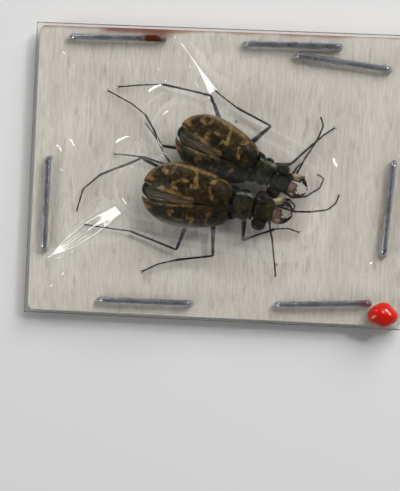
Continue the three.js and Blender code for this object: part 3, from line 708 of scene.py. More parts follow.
# %% A point along a bent path
def along(path, share):
    """A point at a share of a bent path's length, and the direction there."""
    path = [Vector(p) for p in path]
    steps = [(b - a).length for a, b in zip(path, path[1:])]
    left = share * sum(steps)
    for a, b, long in zip(path, path[1:], steps):
        if left <= long or b is path[-1]:
            return a.lerp(b, min(1, left / long)), (b - a).normalized()
        left -= long


# %% [markdown]
# Bristles stand out to both sides of a length and lean towards its far end. Their places and
# leans vary by chance, and the seed makes it the same chance in every run.

# %% Rows of bristles
UP = Vector((0, 0, 1))
random.seed(7)


def bristles(a, b, count, lean):
    """Roots and directions of bristles in two rows along a straight length."""
    forward = (b - a).normalized()
    across = forward.cross(UP).normalized()
    roots = []
    for i in range(count):
        for side in (1, -1):
            place = a.lerp(b, (i + random.uniform(0.2, 0.8)) / count)
            out = across * side + UP * random.uniform(-0.4, 0.3)
            roots.append((place + out * 0.03, forward * lean + out))
    return roots


# %% [markdown]
# With these a leg is put together from the hip to the claws, and joined into one piece. The
# femur and tibia are smooth limbs, so their stations are few.


# %% Legs
def leg(beetle, word):
    pair, side_word = word.split("_")
    x, y, z = HIPS[pair]
    hip = beetle["place"] @ Vector((x, y if side_word == "left" else -y, z))
    knee, ankle, *toes = [Vector((px, py, pz + CARD["top"])) for px, py, pz in beetle["legs"][word]]
    thigh = [hip.lerp(knee, t) + THIGH_SAG * math.sin(t * math.pi) for t in THIGH]
    shin = [knee.lerp(ankle, t) for t in SHIN]
    parts = [
        limb("femur", thigh, THIGH.values(), rounds=3, between=3),
        limb("tibia", shin, SHIN.values(), rounds=2, between=3),
    ]
    foot = [ankle, *toes]
    for i in range(5):
        shares = [i / TOES_IN_FOOT + 0.002, i / TOES_IN_FOOT + 0.09, (i + 1) / TOES_IN_FOOT - 0.004]
        parts.append(limb("tarsal joint", [along(foot, t)[0] for t in shares], TOE_GIRTH, rounds=1))
    tip, forward = along(foot, 0.92)
    across = forward.cross(UP).normalized()
    for way in (1, -1):
        hook = [tip + forward * a + across * way * b + UP * c for a, b, c in CLAW]
        parts.append(limb("claw", hook, CLAW_GIRTH, rounds=1))
    spurs = [(ankle, (ankle - knee).normalized() + across * way * 0.5) for way in (1, -1)]
    parts.append(planted("spurs", spurs, *SPUR))
    parts.append(planted("shin bristles", bristles(knee, ankle, 9, 0.9), *BRISTLE))
    parts.append(planted("thigh hairs", bristles(hip.lerp(knee, 0.25), knee, 12, 0.5), *HAIR))
    parts.append(planted("foot bristles", bristles(ankle, toes[0], 5, 1.2), *FOOT_BRISTLE))
    return joined(parts, f"{beetle['name']}_leg_{word}")


for beetle in BEETLES:
    for word in beetle["legs"]:
        hand_over(leg(beetle, word), ON_CARD, "leg", solid_of(beetle, f"leg_{word}"))

# %% [markdown]
# A feeler has eleven joints. The first is stout, the second short, and the rest are long and
# slender, each a little thicker at its far end, and thinner towards the feeler's tip.

# %% Feelers
JOINTS = [0, 0.07, 0.1, 0.22, 0.33, 0.43, 0.53, 0.62, 0.71, 0.8, 0.9, 1.0]
SOCKET = (2.86, 0.58, 0.16)
JOINT_GIRTH = {"first": 0.105, "next": 0.085, "less by": 0.0015}


def feeler(beetle, word):
    x, y, z = SOCKET
    root = beetle["place"] @ Vector((x, y if word == "left" else -y, z))
    path = [root] + [Vector((px, py, pz + CARD["top"])) for px, py, pz in beetle["feelers"][word]]
    parts = []
    for i, (start, end) in enumerate(zip(JOINTS, JOINTS[1:])):
        thick = JOINT_GIRTH["next"] - JOINT_GIRTH["less by"] * i if i else JOINT_GIRTH["first"]
        shares = [start, start + (end - start) * 0.5, end - 0.004]
        places = [along(path, t)[0] for t in shares]
        parts.append(limb("joint", places, (thick * 0.72, thick * 0.86, thick), rounds=2))
    hairs = [
        (place, forward + Vector([random.uniform(-1, 1) for _ in range(3)]))
        for place, forward in [along(path, random.uniform(0.3, 1)) for _ in range(40)]
    ]
    parts.append(planted("feeler hairs", hairs, 0.12, 0.007))
    return joined(parts, f"{beetle['name']}_feeler_{word}")


for beetle in BEETLES:
    for word in beetle["feelers"]:
        solid = solid_of(beetle, f"antenna_{word}")
        hand_over(feeler(beetle, word), ON_CARD, "feeler", solid)

# %% [markdown]
# White hairs fringe the pronotum's flanks and the sides of the belly. They lie close and lean
# backwards, which on the dried beetle shows as a thin frost along the edges.

# %% White hairs
BARREL = 0.9072
BELLY_TURN = 0.5


def flank_hairs(beetle):
    hairs = []
    for _ in range(150):
        side = random.choice((1, -1))
        x = random.uniform(0.3, 1.7)
        turn = random.uniform(-0.5, 0.35)
        out = Vector((0, math.cos(turn) * side, math.sin(turn)))
        hairs.append((Vector((x, 0, 0)) + out * BARREL, out + Vector((-1.2, 0, 0))))
    for _ in range(110):
        side = random.choice((1, -1))
        x = random.uniform(-5.6, -0.4)
        out = Vector((0, math.cos(BELLY_TURN) * side, -math.sin(BELLY_TURN)))
        hairs.append((Vector((x, 1.22 * side, -0.5)), out + Vector((-1.4, 0, 0))))
    return planted(beetle["name"] + "_flank_hairs", hairs, 0.24, 0.009)


for beetle in BEETLES:
    hand_over(flank_hairs(beetle), beetle["place"], "white hair")

# %% [markdown]
# The card is cut from a fibrous sheet: its corners are a little rounded and its cut edges
# soft. A cube is pressed to size, its four upright edges are bevelled round in edit mode, and
# a second, finer bevel softens the rims.

# %% The card
middle = (0, 0, (CARD["bottom"] + CARD["top"]) / 2)
card = started("card_board", bpy.ops.mesh.primitive_cube_add, size=1, location=middle)
card.scale = (CARD["long"], CARD["short"], CARD["top"] - CARD["bottom"])
bpy.ops.object.transform_apply(location=True, rotation=False, scale=True)
bpy.ops.object.mode_set(mode="EDIT")
bpy.ops.mesh.select_mode(type="EDGE")
bpy.ops.mesh.select_all(action="DESELECT")
bpy.ops.object.mode_set(mode="OBJECT")
for edge in card.data.edges:
    ends = [card.data.vertices[i].co for i in edge.vertices]
    edge.select = abs(ends[0].z - ends[1].z) > 0.1
bpy.ops.object.mode_set(mode="EDIT")
bpy.ops.mesh.bevel(offset=0.45, segments=5, affect="EDGES")
bpy.ops.object.mode_set(mode="OBJECT")
finish_with(card, "BEVEL", width=0.06, segments=3, limit_method="ANGLE")
hand_over(card, ON_CARD, "card", "card")

# %% [markdown]
# A staple is one round wire: a crown, two legs through film and card, and two feet bent
# flat underneath. It is drawn as a path with small bends, then made a little wider than high.

# %% Seven staples
STAPLES = [
    ((-11.1, 9.5), (-4.4, 9.6)), ((1.5, 9.45), (8.3, 9.5)), ((5.2, 8.75), (11.9, 8.0)),
    ((-12.35, 0.7), (-12.4, -5.9)), ((-8.2, -9.35), (-1.6, -9.3)), ((4.6, -9.1), (11.2, -8.7)),
    ((12.5, 1.4), (12.05, -5.2)),
]
BEND, FOOT = 0.3, 2.4


def bend(x, z, start, steps=5):
    """Points round a quarter bend in the staple's own plane."""
    turns = [math.radians(start + 90 * i / steps) for i in range(steps + 1)]
    return [(x + BEND * math.cos(t), 0, z + BEND * math.sin(t)) for t in turns]


def staple(number, start, end):
    """One staple's wire in its own frame, and its place on the card."""
    a, b = Vector(start), Vector(end)
    half = (b - a).length / 2
    low, high = WIRE["radius"], WIRE["top"] - WIRE["radius"]
    right = [(half - FOOT, 0, low), *bend(half - BEND, low + BEND, -90), *bend(half - BEND, high - BEND, 0)]
    left = [(-x, y, z) for x, y, z in reversed(right)]
    wire = limb(f"staple_wire_{number}", [*right, *left], [WIRE["radius"]] * (2 * len(right)), rounds=4)
    wire.data.transform(Matrix.Diagonal((1, 1.2, 1, 1)))
    turn = math.atan2(b.y - a.y, b.x - a.x)
    return wire, Matrix.Translation((*(a + b) / 2, 0)) @ Matrix.Rotation(turn, 4, "Z")


for number, (start, end) in enumerate(STAPLES, 1):
    wire, place = staple(number, start, end)
    hand_over(wire, place, "staple", f"staple_{number}")

# %% [markdown]
# The film lies on the card's rim under the staples and is lifted by the legs and the two
# bodies. Where it is pulled it folds, and the folds are what catches the light. A pulled fold
# climbs from a staple or the rim to a body, with a flat crest that widens upwards. A crease is
# low and widens along its length.

# %% Folds and creases
FLANK = 1.1
CREST = 0.05
LEAF = (-12.1, -6.5), (-5.5, -2.0)
WEDGE_TOP = (-0.4, 5.75)
PULLS = [
    {"line": LEAF, "rise": 3.6, "opens": 0.4, "wide": 0.5, "bow": 0.0},
    {"line": LEAF, "rise": 3.6, "opens": 0.0, "wide": 0.08, "bow": 0.5},
    {"line": LEAF, "rise": 3.6, "opens": 0.0, "wide": 0.08, "bow": -0.5},
    {"line": ((-3.35, 9.95), WEDGE_TOP), "rise": 2.05, "opens": 0.35, "wide": 0.42, "bow": 0.0},
    {"line": ((-3.6, 9.95), WEDGE_TOP), "rise": 2.0, "opens": 0.0, "wide": 0.08, "bow": 0.0},
    {"line": ((-3.05, 9.95), WEDGE_TOP), "rise": 2.0, "opens": 0.0, "wide": 0.08, "bow": 0.0},
]
CREASES = [
    {"line": ((-4.6, 7.6), (-3.7, 6.0)), "wide": 0.4, "steep": 0.4},
    {"line": ((-11.9, 1.3), (-11.4, 0.0)), "wide": 0.25, "steep": 0.35},
    {"line": ((11.9, -6.3), (11.2, -7.9)), "wide": 0.35, "steep": 0.35},
    {"line": ((-12.9, 8.6), (-12.5, 6.0)), "wide": 0.25, "steep": 0.3},
]
CREASE_START = 0.1


def pull(point, form):
    """A straight fold up to a body, flat along its crest, as a stretched sheet makes."""
    start, end = map(Vector, form["line"])
    held, nearest = nearest_on(point, start, end)
    line = end - start
    bow = form["bow"] * 4 * held * (1 - held) * Vector((-line.y, line.x)).normalized()
    flat = CREST + form["wide"] * max(0.0, held - form["opens"]) / (1 - form["opens"])
    return form["rise"] * held - FLANK * max(0.0, (point - nearest - bow).length - flat)


def crease(point, form):
    """A small fold with flat flanks that widens along its length."""
    held, nearest = nearest_on(point, *map(Vector, form["line"]))
    wide = CREASE_START + (form["wide"] - CREASE_START) * held
    return form["steep"] * max(0.0, wide - (point - nearest).length)


# %% [markdown]
# The film's height is a sum of named forms: a low stand-off, a ridge over each body, ripples,
# and the folds and creases. Towards a staple or the rim the stand-off and the ridges fade out.

# %% The film's height
TENT = {"low": 0.85, "rim": 1.6, "staple": 0.8, "rise": 1.6, "droop": 0.22, "soft": 1.2}
BODIES = [
    {"from": (-4.9, -1.2), "to": (4.9, -2.7), "high": 2.85, "half": 1.5, "spread": 1.5},
    {"from": (-2.6, 2.9), "to": (5.0, -0.5), "high": 2.35, "half": 1.45, "spread": 1.45},
]
RIPPLES = [(0.07, 0.3, 0.5, 1.3), (0.015, 0.7, 1.9, 5.1)]


def film_height(x, y):
    point = Vector((x, y))
    to_edge = min(FILM["long"] / 2 - abs(x), FILM["short"] / 2 - abs(y))
    to_staple = min(away_from(point, s) for s in STAPLES) - TENT["staple"]
    free = ease(min(to_edge - TENT["rim"], to_staple) / TENT["rise"])
    humps = []
    for body in BODIES:
        past = max(0, away_from(point, [body["from"], body["to"]]) - body["half"]) / body["spread"]
        humps.append(body["high"] * math.exp(-past * past))
    hump = math.hypot(*[h**3 for h in humps]) ** (1 / 3)
    folds = sum(crease(point, form) for form in CREASES)
    ripple = sum(high * noise.noise((x * a, y * b, c)) for high, a, b, c in RIPPLES)
    droop = TENT["droop"] * (1 - ease(to_edge / TENT["soft"]))
    tent = max(free * (TENT["low"] + hump + ripple), *[pull(point, form) for form in PULLS])
    return FILM["rest"] + FILM["solid"] / 2 + tent + folds - droop


# %% [markdown]
# The sheet is a fine grid. Each of its points is lifted to the film's height there, and the
# sheet then gets its thickness to both sides.

# %% The film
film = started(
    "clear_film", bpy.ops.mesh.primitive_grid_add, x_subdivisions=230, y_subdivisions=176, size=1
)
for vertex in film.data.vertices:
    x, y = vertex.co.x * FILM["long"], vertex.co.y * FILM["short"]
    vertex.co = (x, y, film_height(x, y))
bpy.ops.object.shade_smooth()
finish_with(film, "SOLIDIFY", thickness=FILM["sheet"], offset=0)
hand_over(film, ON_CARD, "film", "film")

# %% [markdown]
# A drop of red lacquer fell on the corner and set in lumps. Metaballs flow into one another
# as the drop did; the result becomes a mesh and is cut off flat where it lies on the film.

# %% The red drop
LUMPS = [
    ((12.0, -9.4, 2.0), 1.25), ((12.75, -9.55, 1.95), 0.95), ((11.6, -9.65, 1.95), 0.8),
    ((12.35, -9.05, 2.0), 0.75), ((12.3, -9.95, 1.95), 0.75),
]
LUMP_GRAIN = 0.07
DROP_FOOT = 1.72
bpy.ops.object.select_all(action="DESELECT")
for place, size in LUMPS:
    bpy.ops.object.metaball_add(type="BALL", radius=size, location=place)
    lump = bpy.context.object.data
    lump.resolution = lump.render_resolution = LUMP_GRAIN
lumps = [o for o in bpy.data.objects if o.type == "META"]
only(min(lumps, key=lambda o: len(o.name)))
bpy.ops.object.convert(target="MESH")
drop = bpy.context.object
for other in [o for o in bpy.data.objects if o.type == "META"]:
    bpy.data.objects.remove(other)
drop.data.transform(drop.matrix_world)
drop.matrix_world = Matrix.Identity(4)
only(drop)
bpy.ops.object.mode_set(mode="EDIT")
bpy.ops.mesh.select_all(action="SELECT")
bpy.ops.mesh.bisect(plane_co=(0, 0, DROP_FOOT), plane_no=(0, 0, -1), use_fill=True, clear_outer=True)
bpy.ops.object.mode_set(mode="OBJECT")
drop.name = drop.data.name = "lacquer_drop"
bpy.ops.object.shade_smooth()
hand_over(drop, ON_CARD, "lacquer", "seal_drop")

# %% [markdown]
# The finishes are worked out from where a point lies on the packet, or from a value that its
# mesh keeps, so no image is laid on. A few small helpers keep the node trees short. A colour is
# written as a code, and turned into the values that light is counted in.

# %% Helpers for node trees
SPACING = {"pit": 0.085, "facet": 0.03, "dot": 0.5, "speck": 2.7}


def per_metre(name):
    """A texture's scale, from the spacing of its pattern in millimetres."""
    return 1000 / SPACING[name]


def tint(code):
    """A written colour as linear values."""
    shares = [value / 255 for value in bytes.fromhex(code)]
    return (*[s / 12.92 if s <= 0.04045 else ((s + 0.055) / 1.055) ** 2.4 for s in shares], 1)


def give(tree, socket, value):
    """Wires a socket to another one, or sets it to a number or a written colour."""
    if isinstance(value, bpy.types.NodeSocket):
        tree.links.new(value, socket)
    else:
        socket.default_value = tint(value) if isinstance(value, str) else value


def add(tree, kind, inputs=None, **properties):
    """A node with its properties and inputs."""
    node = tree.nodes.new("ShaderNode" + kind)
    for key, value in properties.items():
        setattr(node, key, value)
    for key, value in (inputs or {}).items():
        give(tree, node.inputs[key], value)
    return node


# %% [markdown]
# Mixing colours and reckoning with values come up in every finish.


# %% Mixing and reckoning
def mixed(tree, factor, a, b):
    return add(tree, "Mix", {"Factor": factor, "A": a, "B": b}, data_type="RGBA").outputs["Result"]


def ranged(tree, value, low, high, to_low=0.0, to_high=1.0):
    """A value stretched from one range to another, and held inside it."""
    ends = {"From Min": low, "From Max": high, "To Min": to_low, "To Max": to_high}
    return add(tree, "MapRange", {"Value": value, **ends}).outputs["Result"]


def laid_over(tree, colour, code, value, low, high, most=1.0):
    """A second colour laid over the first as a value goes from low to high."""
    return mixed(tree, ranged(tree, value, low, high, 0.0, most), colour, code)


def reckoned(tree, operation, *values):
    return add(tree, "Math", dict(enumerate(values)), operation=operation).outputs[0]


def plus(tree, a, b):
    return reckoned(tree, "ADD", a, b)


def times(tree, a, b):
    return reckoned(tree, "MULTIPLY", a, b)


# %% [markdown]
# What varies over a surface comes from a value kept on the mesh, or from one of two textures:
# soft noise, which may be stretched into fibres, and the distance to the nearest of many
# scattered points. Both read the point's place on the packet, so they stay where they are.


# %% Kept values and textures
def kept(tree, attribute):
    """A value kept on the mesh."""
    return add(tree, "Attribute", attribute_name=attribute).outputs["Fac"]


def here(tree, **mapping):
    """The point's place on the packet, which a Mapping node may stretch or move."""
    place = add(tree, "TexCoord").outputs["Object"]
    return add(tree, "Mapping", {"Vector": place, **mapping}).outputs["Vector"] if mapping else place


def cloudy(tree, scale, detail=2.0, roughness=0.5, place=None):
    """Soft noise."""
    place = here(tree) if place is None else place
    inputs = {"Vector": place, "Scale": scale, "Detail": detail, "Roughness": roughness}
    return add(tree, "TexNoise", inputs).outputs["Fac"]


def fibrous(tree, stretch, detail, roughness=0.5):
    """Noise with a scale of its own in each direction."""
    return cloudy(tree, 1.0, detail, roughness, here(tree, Scale=stretch))


def scattered(tree, scale, randomness=1.0):
    """The distance to the nearest of many scattered points."""
    inputs = {"Vector": here(tree), "Scale": scale, "Randomness": randomness}
    return add(tree, "TexVoronoi", inputs).outputs["Distance"]


# %% [markdown]
# An effect that several finishes share is a node group with named ends, built once.


# %% Node groups
def node_group(name, inputs, outputs):
    """A group with its ends: inputs and outputs are pairs of a name and a kind."""
    group = bpy.data.node_groups.new(name, "ShaderNodeTree")
    for way, sockets in (("INPUT", inputs), ("OUTPUT", outputs)):
        for label, kind in sockets:
            group.interface.new_socket(label, in_out=way, socket_type="NodeSocket" + kind)
    return group, group.nodes.new("NodeGroupInput").outputs, group.nodes.new("NodeGroupOutput").inputs


def use(tree, group, inputs):
    """A node group put to use in a tree."""
    return add(tree, "Group", inputs, node_tree=group).outputs


# %% [markdown]
# A tiger beetle's skin is dark and metallic, and its colour drifts from green to copper with
# no border. One group mixes three colours by slow noise. A second one pricks the surface with
# the small round pits that stand all over the wing cases, and tells where their floors are.

# %% Two groups that the whole skin shares
GRAIN = 26000.0
colours = [("First", "Color"), ("Second", "Color"), ("Third", "Color"), ("Scale", "Float")]
drift, given, out = node_group("Colour drift", colours, [("Colour", "Color")])
slow = cloudy(drift, given["Scale"], 3.0, 0.6)
aside = cloudy(drift, given["Scale"], place=here(drift, Location=(0.31, 0.17, 0.23)))
pair = mixed(drift, ranged(drift, slow, 0.38, 0.62), given["First"], given["Second"])
give(drift, out["Colour"], mixed(drift, ranged(drift, aside, 0.48, 0.66), pair, given["Third"]))

ends = [("Scale", "Float"), ("Depth", "Float")], [("Height", "Float"), ("Floor", "Float")]
pitted, given, out = node_group("Pitted skin", *ends)
floor_of_pit = ranged(pitted, scattered(pitted, given["Scale"], 0.75), 0.38, 0.12)
grain = times(pitted, cloudy(pitted, GRAIN, 3.0), 0.3)
sunk = times(pitted, floor_of_pit, given["Depth"])
give(pitted, out["Height"], reckoned(pitted, "SUBTRACT", grain, sunk))
give(pitted, out["Floor"], floor_of_pit)
print("groups", [group.name for group in bpy.data.node_groups])

# %% [markdown]
# Each finish starts from one shader and gives it what differs: colours, gloss and a height
# for the bump. The skin's finishes also keep a thin clear coat, as real cuticle has.

# %% A material from its shader inputs
FINISHES = {}


def finish(part, name, **constants):
    """A part's material, with the plain settings of its one Principled shader."""
    made = bpy.data.materials.new(name)
    made.use_nodes = True
    shader = made.node_tree.nodes["Principled BSDF"]
    for key, value in constants.items():
        give(made.node_tree, shader.inputs[key.replace("_", " ")], value)
    FINISHES[part] = made
    return made.node_tree, shader


def dress(tree, shader, colour=None, roughness=None, height=None, microns=20):
    """Wires what varies over the surface into the shader; the relief is that many microns deep."""
    if colour is not None:
        give(tree, shader.inputs["Base Color"], colour)
    if roughness is not None:
        give(tree, shader.inputs["Roughness"], roughness)
    if height is not None:
        bump = add(tree, "Bump", {"Height": height, "Distance": microns * 1e-6, "Strength": 1.0})
        give(tree, shader.inputs["Normal"], bump.outputs["Normal"])


def skin(part, name, colours, pits, scale=420.0, **constants):
    """A finish for dark cuticle: drifting colours and pits."""
    settings = {"Metallic": 0.45, "Roughness": 0.36, "Specular_IOR_Level": 0.3}
    settings.update(Coat_Weight=0.12, Coat_Roughness=0.15)
    tree, shader = finish(part, name, **{**settings, **constants})
    inputs = dict(zip(("First", "Second", "Third"), colours))
    colour = use(tree, drift, {**inputs, "Scale": scale})["Colour"]
    relief = use(tree, pitted, {"Scale": per_metre("pit"), "Depth": pits})
    return tree, shader, colour, relief


# %% [markdown]
# The wing cases are dull bronze with green in the pits. Their pattern was kept on the mesh
# as the value pale; a thin dark border round each mark comes from the foot of its slope.

# %% Wing cases
gloss = {"Metallic": 0.3, "Roughness": 0.4, "Coat_Weight": 0.08}
tree, shader, ground, relief = skin(
    "wing case", "Bronze wing case", ("281d09", "3d2d10", "181a0a"), pits=0.8, **gloss
)
frayed = ranged(tree, cloudy(tree, 5200.0, 4.0, 0.7), 0.3, 0.7, -0.38, 0.38)
pale = plus(tree, kept(tree, "pale"), frayed)
cloud = cloudy(tree, 2900.0, 4.0, 0.65)
dots = scattered(tree, per_metre("dot"), 0.9)
ground = mixed(tree, times(tree, relief["Floor"], 0.5), ground, "1f3a22")
ground = laid_over(tree, ground, "080602", cloud, 0.48, 0.6, 0.85)
ground = laid_over(tree, ground, "57451f", cloud, 0.46, 0.36, 0.75)
ground = laid_over(tree, ground, "0e2013", dots, 0.3, 0.2, 0.8)
mark = mixed(tree, ranged(tree, cloud, 0.36, 0.64), "4f3711", "957642")
mark = mixed(tree, kept(tree, "apex"), mark, "9a6c40")
mark = mixed(tree, times(tree, relief["Floor"], 0.6), mark, "3b2a10")
off_border = reckoned(tree, "ABSOLUTE", reckoned(tree, "SUBTRACT", pale, 0.28))
ground = mixed(tree, ranged(tree, off_border, 0.0, 0.26, 0.75, 0.0), ground, "120d05")
colour = mixed(tree, ranged(tree, pale, 0.3, 0.8, 0.0, 0.92), ground, mark)
dress(tree, shader, colour, ranged(tree, pale, 0.3, 0.8, 0.36, 0.46), relief["Height"], microns=22)
print("wing case nodes", len(tree.nodes))

# %% [markdown]
# The rest of the body is the same skin in other colours. The head has fine ridges that run
# forward between the eyes, and the pronotum has wrinkles across it. Both ride on a value kept
# on the mesh, because the beetles lie turned and the packet's own axes would not follow. An
# olive highlight is painted into the colour along their crests, broken up by noise.
# Legs and feelers are near black with a violet and copper sheen.

# %% Body, head, pronotum and limbs
SKINS = {
    "underside": (("0a1815", "10181d", "19121e"), 0.3),
    "abdomen": (("0a2116", "0d1916", "1b1224"), 0.35),
    "pronotum": (("0c1208", "33270b", "111a0d"), 0.5),
    "head": (("0c130b", "2e240b", "0f1911"), 0.4),
}
LIMBS = {
    "leg": ("Violet-black limb", ("130f18", "1d161e", "2b1e18"), {"Metallic": 0.3}),
    "feeler": ("Dull feeler", ("1b1517", "2b2020", "3a2819"), {"Metallic": 0.2, "Roughness": 0.5}),
}
for part, (colours, pits) in SKINS.items():
    tree, shader, colour, relief = skin(part, f"Metallic {part}", colours, pits)
    height = relief["Height"]
    if part in ("pronotum", "head"):
        ridge = reckoned(tree, "SINE", kept(tree, "stripe"))
        height = plus(tree, height, times(tree, ridge, 0.4))
        cloud = cloudy(tree, 2600.0, 3.0)
        # painted highlight: an olive colour laid along the ridge crests, patchy by noise
        painted_ridge_glints = times(tree, ranged(tree, ridge, -0.1, 1.0), ranged(tree, cloud, 0.42, 0.6))
        colour = mixed(tree, times(tree, painted_ridge_glints, 0.5), colour, "6a5f22")
    dress(tree, shader, colour, None, height, microns=28)
for part, (name, colours, gloss) in LIMBS.items():
    tree, shader, colour, relief = skin(part, name, colours, pits=0.2, scale=900.0, **gloss)
    dress(tree, shader, colour, None, relief["Height"], microns=10)
print("skins", list(FINISHES))

# %% [markdown]
# The jaws run from ivory at the root to dark teeth, and the lip is a dull pinkish brown with a
# darker edge. Eyes are black domes of tiny facets. The flying wings are a brown skin that
# shines a little, and the hairs a dusty white.

# %% Mouth, eyes, wings and hair
HORN = {
    "jaw": ("Jaw horn", (2500.0, 2.0), ("866a48", "b3a083", "1c110b"), (0.3, 0.4)),
    "labrum": ("Lip horn", (2200.0, 3.0), ("4d362a", "7c6152", "3b2114"), (0.38, 0.25)),
}
for part, (name, grain, (dull, bright, edge), (roughness, coat)) in HORN.items():
    tree, shader = finish(part, name, Roughness=roughness, Coat_Weight=coat)
    cloud = cloudy(tree, *grain)
    colour = mixed(tree, kept(tree, "tip"), mixed(tree, cloud, dull, bright), edge)
    dress(tree, shader, colour, None, cloud, microns=10)

tree, shader = finish("eye", "Faceted eye", Roughness=0.2, Specular_IOR_Level=0.35, Coat_Weight=0.3)
facets = ranged(tree, scattered(tree, per_metre("facet")), 0.7, 0.1)
dress(tree, shader, mixed(tree, cloudy(tree, 1500.0), "0b0909", "241b12"), None, facets, microns=3)

tree, shader = finish("wing", "Folded wing skin", Roughness=0.32, Coat_Weight=0.3, Metallic=0.1)
colour = mixed(tree, ranged(tree, cloudy(tree, 900.0), 0.35, 0.65), "43361f", "695a3e")
colour = mixed(tree, kept(tree, "vein"), colour, "2c1a0d")
dress(tree, shader, colour, None, cloudy(tree, 5200.0, 4.0), microns=30)

tree, shader = finish("white hair", "White hair", Roughness=0.6)
dress(tree, shader, mixed(tree, cloudy(tree, 3000.0), "8e897b", "c4bfb0"))
print("finishes", len(FINISHES))

# %% [markdown]
# Card shows its fibres, which run up and down here, with a few darker threads and specks, a
# brown band along its upper edge and a smear under one staple. Both are kept to the card's
# top by the point's height.

# %% Card
UPPER_EDGE_BAND = {"from": 0.01035, "full": 0.01055, "low": 0.00075, "high": 0.00125}
SMEAR = {"x": -0.0064, "half": 0.0029, "full": 0.002, "from": 0.01015, "to": 0.01045, "low": 0.0009}
tree, shader = finish("card", "Fibrous card", Roughness=0.85)
fibres = fibrous(tree, (6200, 900, 6200), 5.0, 0.6)
cloud = cloudy(tree, 260.0, 3.0)
colour = mixed(tree, ranged(tree, fibres, 0.25, 0.75), "a8a297", "c6c0b5")
colour = laid_over(tree, colour, "a49a8b", cloud, 0.35, 0.7, 0.35)
colour = laid_over(tree, colour, "837a6d", fibrous(tree, (3400, 700, 3400), 2.0), 0.6, 0.74, 0.4)
x, y, z = add(tree, "SeparateXYZ", {"Vector": here(tree)}).outputs
# a brown band along the card's upper edge, made ragged by noise
ragged = plus(tree, y, times(tree, cloud, 0.0006))
edge = ranged(tree, ragged, UPPER_EDGE_BAND["from"], UPPER_EDGE_BAND["full"], 0.0, 0.75)
edge = times(tree, edge, ranged(tree, z, UPPER_EDGE_BAND["low"], UPPER_EDGE_BAND["high"]))
colour = mixed(tree, edge, colour, "8a5a44")
off_middle = reckoned(tree, "ABSOLUTE", reckoned(tree, "SUBTRACT", x, SMEAR["x"]))
beside = ranged(tree, off_middle, SMEAR["half"], SMEAR["full"])
ragged = plus(tree, y, times(tree, cloud, 0.0008))
smear = times(tree, beside, ranged(tree, ragged, SMEAR["from"], SMEAR["to"]))
smear = times(tree, smear, ranged(tree, z, SMEAR["low"], UPPER_EDGE_BAND["high"]))
colour = mixed(tree, times(tree, smear, 0.8), colour, "6e3a2c")
specks = ranged(tree, scattered(tree, per_metre("speck")), 0.055, 0.035, 0.0, 0.7)
colour = mixed(tree, times(tree, specks, ranged(tree, cloud, 0.5, 0.55)), colour, "57493c")
dress(tree, shader, colour, None, fibres, microns=50)
print("card nodes", len(tree.nodes))

# %% [markdown]
# The staples' dark steel has fine drawing marks, and two of them are stained, one by rust and
# one by the lacquer. A stain is a distance from a point, made ragged by noise. The lacquer is
# a bright red with a soft gloss.

# %% Staples and drop
RUST = {"Centre": (-0.0052, 0.0096, 0.0021), "Reach": 0.0017}
BLUSH = {"Centre": (0.0108, -0.0087, 0.0021), "Reach": 0.0012}
ends = [("Centre", "Vector"), ("Reach", "Float")], [("Amount", "Float")]
stain, given, out = node_group("Stain", *ends)
away = add(stain, "VectorMath", {0: here(stain), 1: given["Centre"]}, operation="DISTANCE")
near = reckoned(stain, "DIVIDE", away.outputs["Value"], given["Reach"])
ragged = plus(stain, near, times(stain, cloudy(stain, 1600.0, 4.0), 0.9))
give(stain, out["Amount"], ranged(stain, ragged, 1.15, 0.75))

tree, shader = finish("staple", "Staple steel", Metallic=0.85)
drawn = fibrous(tree, (900, 900, 12000), 3.0)
spots = cloudy(tree, 1300.0, 5.0)
rust, blush = [use(tree, stain, place)["Amount"] for place in (RUST, BLUSH)]
colour = laid_over(tree, mixed(tree, drawn, "9d9ea3", "d2d3d7"), "3e3a38", spots, 0.6, 0.7, 0.6)
colour = mixed(tree, rust, colour, "6b3a1c")
colour = mixed(tree, times(tree, blush, 0.6), colour, "a8656a")
gloss = ranged(tree, plus(tree, drawn, rust), 0.3, 1.2, 0.18, 0.6)
dress(tree, shader, colour, gloss, plus(tree, drawn, times(tree, rust, spots)), microns=10)

soft = {"Subsurface_Weight": 0.05, "Subsurface_Scale": 0.0004}
tree, shader = finish("lacquer", "Red lacquer", Roughness=0.24, Coat_Weight=0.2, **soft)
slow = cloudy(tree, 900.0)
dress(tree, shader, mixed(tree, slow, "b40a00", "d82002"), None, slow, microns=80)

# %% [markdown]
# The film is clear and thin. Light on its way to the card passes straight through, which is
# what the mix with a transparent shader says, and its folds alone show, by what they mirror.

# %% Film
clear_sheet = {"Base_Color": "f7f9fb", "Transmission_Weight": 1.0, "IOR": 1.46}
tree, shader = finish("film", "Clear film", Roughness=0.035, **clear_sheet)
dress(tree, shader, height=fibrous(tree, (500, 1400, 500), 3.0), microns=15)
passing = add(tree, "LightPath").outputs["Is Shadow Ray"]
clear = add(tree, "BsdfTransparent").outputs["BSDF"]
both = add(tree, "MixShader", {"Fac": passing, 1: shader.outputs["BSDF"], 2: clear})
give(tree, tree.nodes["Material Output"].inputs["Surface"], both.outputs["Shader"])

for part, pieces in WEARERS.items():
    for piece in pieces:
        piece.data.materials.append(FINISHES[part])
    print(part, len(pieces))

# %% [markdown]
# The floor is plain and pale, and the room is a soft grey, darker overhead.

# %% Floor and room
floor = started("floor", bpy.ops.mesh.primitive_plane_add, size=2)
finish("floor", "Pale floor", Roughness=0.7, Base_Color="dedddc")
floor.data.materials.append(FINISHES["floor"])

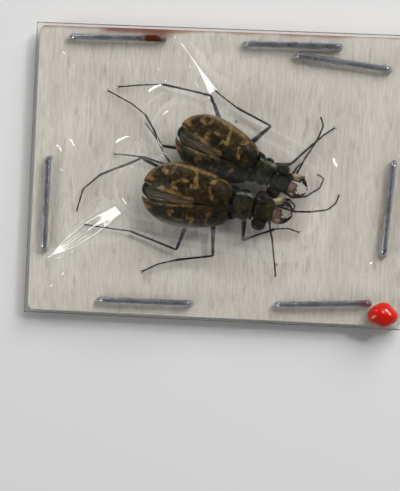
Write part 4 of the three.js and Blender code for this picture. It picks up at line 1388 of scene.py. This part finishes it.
world = bpy.data.worlds.new("Soft room")
world.use_nodes = True
room = world.node_tree
height = reckoned(room, "ABSOLUTE", add(room, "SeparateXYZ", {"Vector": here(room)}).outputs["Z"])
give(room, room.nodes["Background"].inputs["Color"], mixed(room, height, "8e9093", "222224"))
room.nodes["Background"].inputs["Strength"].default_value = 1.0
bpy.context.scene.world = world
print("room", world.name)

# %% [markdown]
# One wide lamp stands to the upper right, so that shadows fall to the left, and the film does
# not mirror it. Three small lamps stand where the film's folds mirror them towards the camera.

# %% Lamps
LAMPS = {
    "key": {"at": (0.13, 0.19, 0.18), "size": 0.2, "watts": 0.89, "mirrored": False},
    "left window": {"at": (-0.187, -0.1, 0.169), "size": 0.08, "watts": 0.15, "mirrored": True},
    "upper left spark": {"at": (-0.1345, 0.1705, 0.18), "size": 0.05, "watts": 0.08, "mirrored": True},
    "right spark": {"at": (0.16, 0.1, 0.2), "size": 0.014, "watts": 0.12, "mirrored": True},
}
BODIES_MIDDLE = Vector((0, -0.002, 0.002))
for name, lamp in LAMPS.items():
    bpy.ops.object.light_add(type="AREA", location=lamp["at"])
    light = bpy.context.object
    light.name = light.data.name = name
    light.data.size = lamp["size"]
    light.data.energy = lamp["watts"]
    light.visible_glossy = light.visible_transmission = lamp["mirrored"]
    light.rotation_euler = (BODIES_MIDDLE - light.location).to_track_quat("-Z", "Y").to_euler()
    print(name, [round(c, 3) for c in light.location])

# %% [markdown]
# The packet is seen from nearly straight above. The camera leans a few degrees to one side
# and is turned a little, as the staples and the card's edges show. It stands close, so that
# the bodies' height shifts them as it does in life.

# %% Camera
TILT, ROLL, AWAY = math.radians(6), math.radians(2.6), 0.18
LOOKED_AT = Vector((-0.00114, -0.00513, 0.00135))
SEEN = 0.0353
aim = Matrix.Rotation(ROLL, 4, "Z") @ Matrix.Rotation(TILT, 4, "Y")
bpy.ops.object.camera_add()
camera = bpy.context.object
camera.name = "camera"
camera.matrix_world = Matrix.Translation(LOOKED_AT) @ aim @ Matrix.Translation((0, 0, AWAY))
camera.data.sensor_fit = "VERTICAL"
camera.data.angle = 2 * math.atan(SEEN / 2 / AWAY)
camera.data.clip_start = 0.01
bpy.context.scene.camera = camera
bpy.context.scene.view_settings.view_transform = "Standard"
print("camera", [round(c, 4) for c in camera.matrix_world.translation])
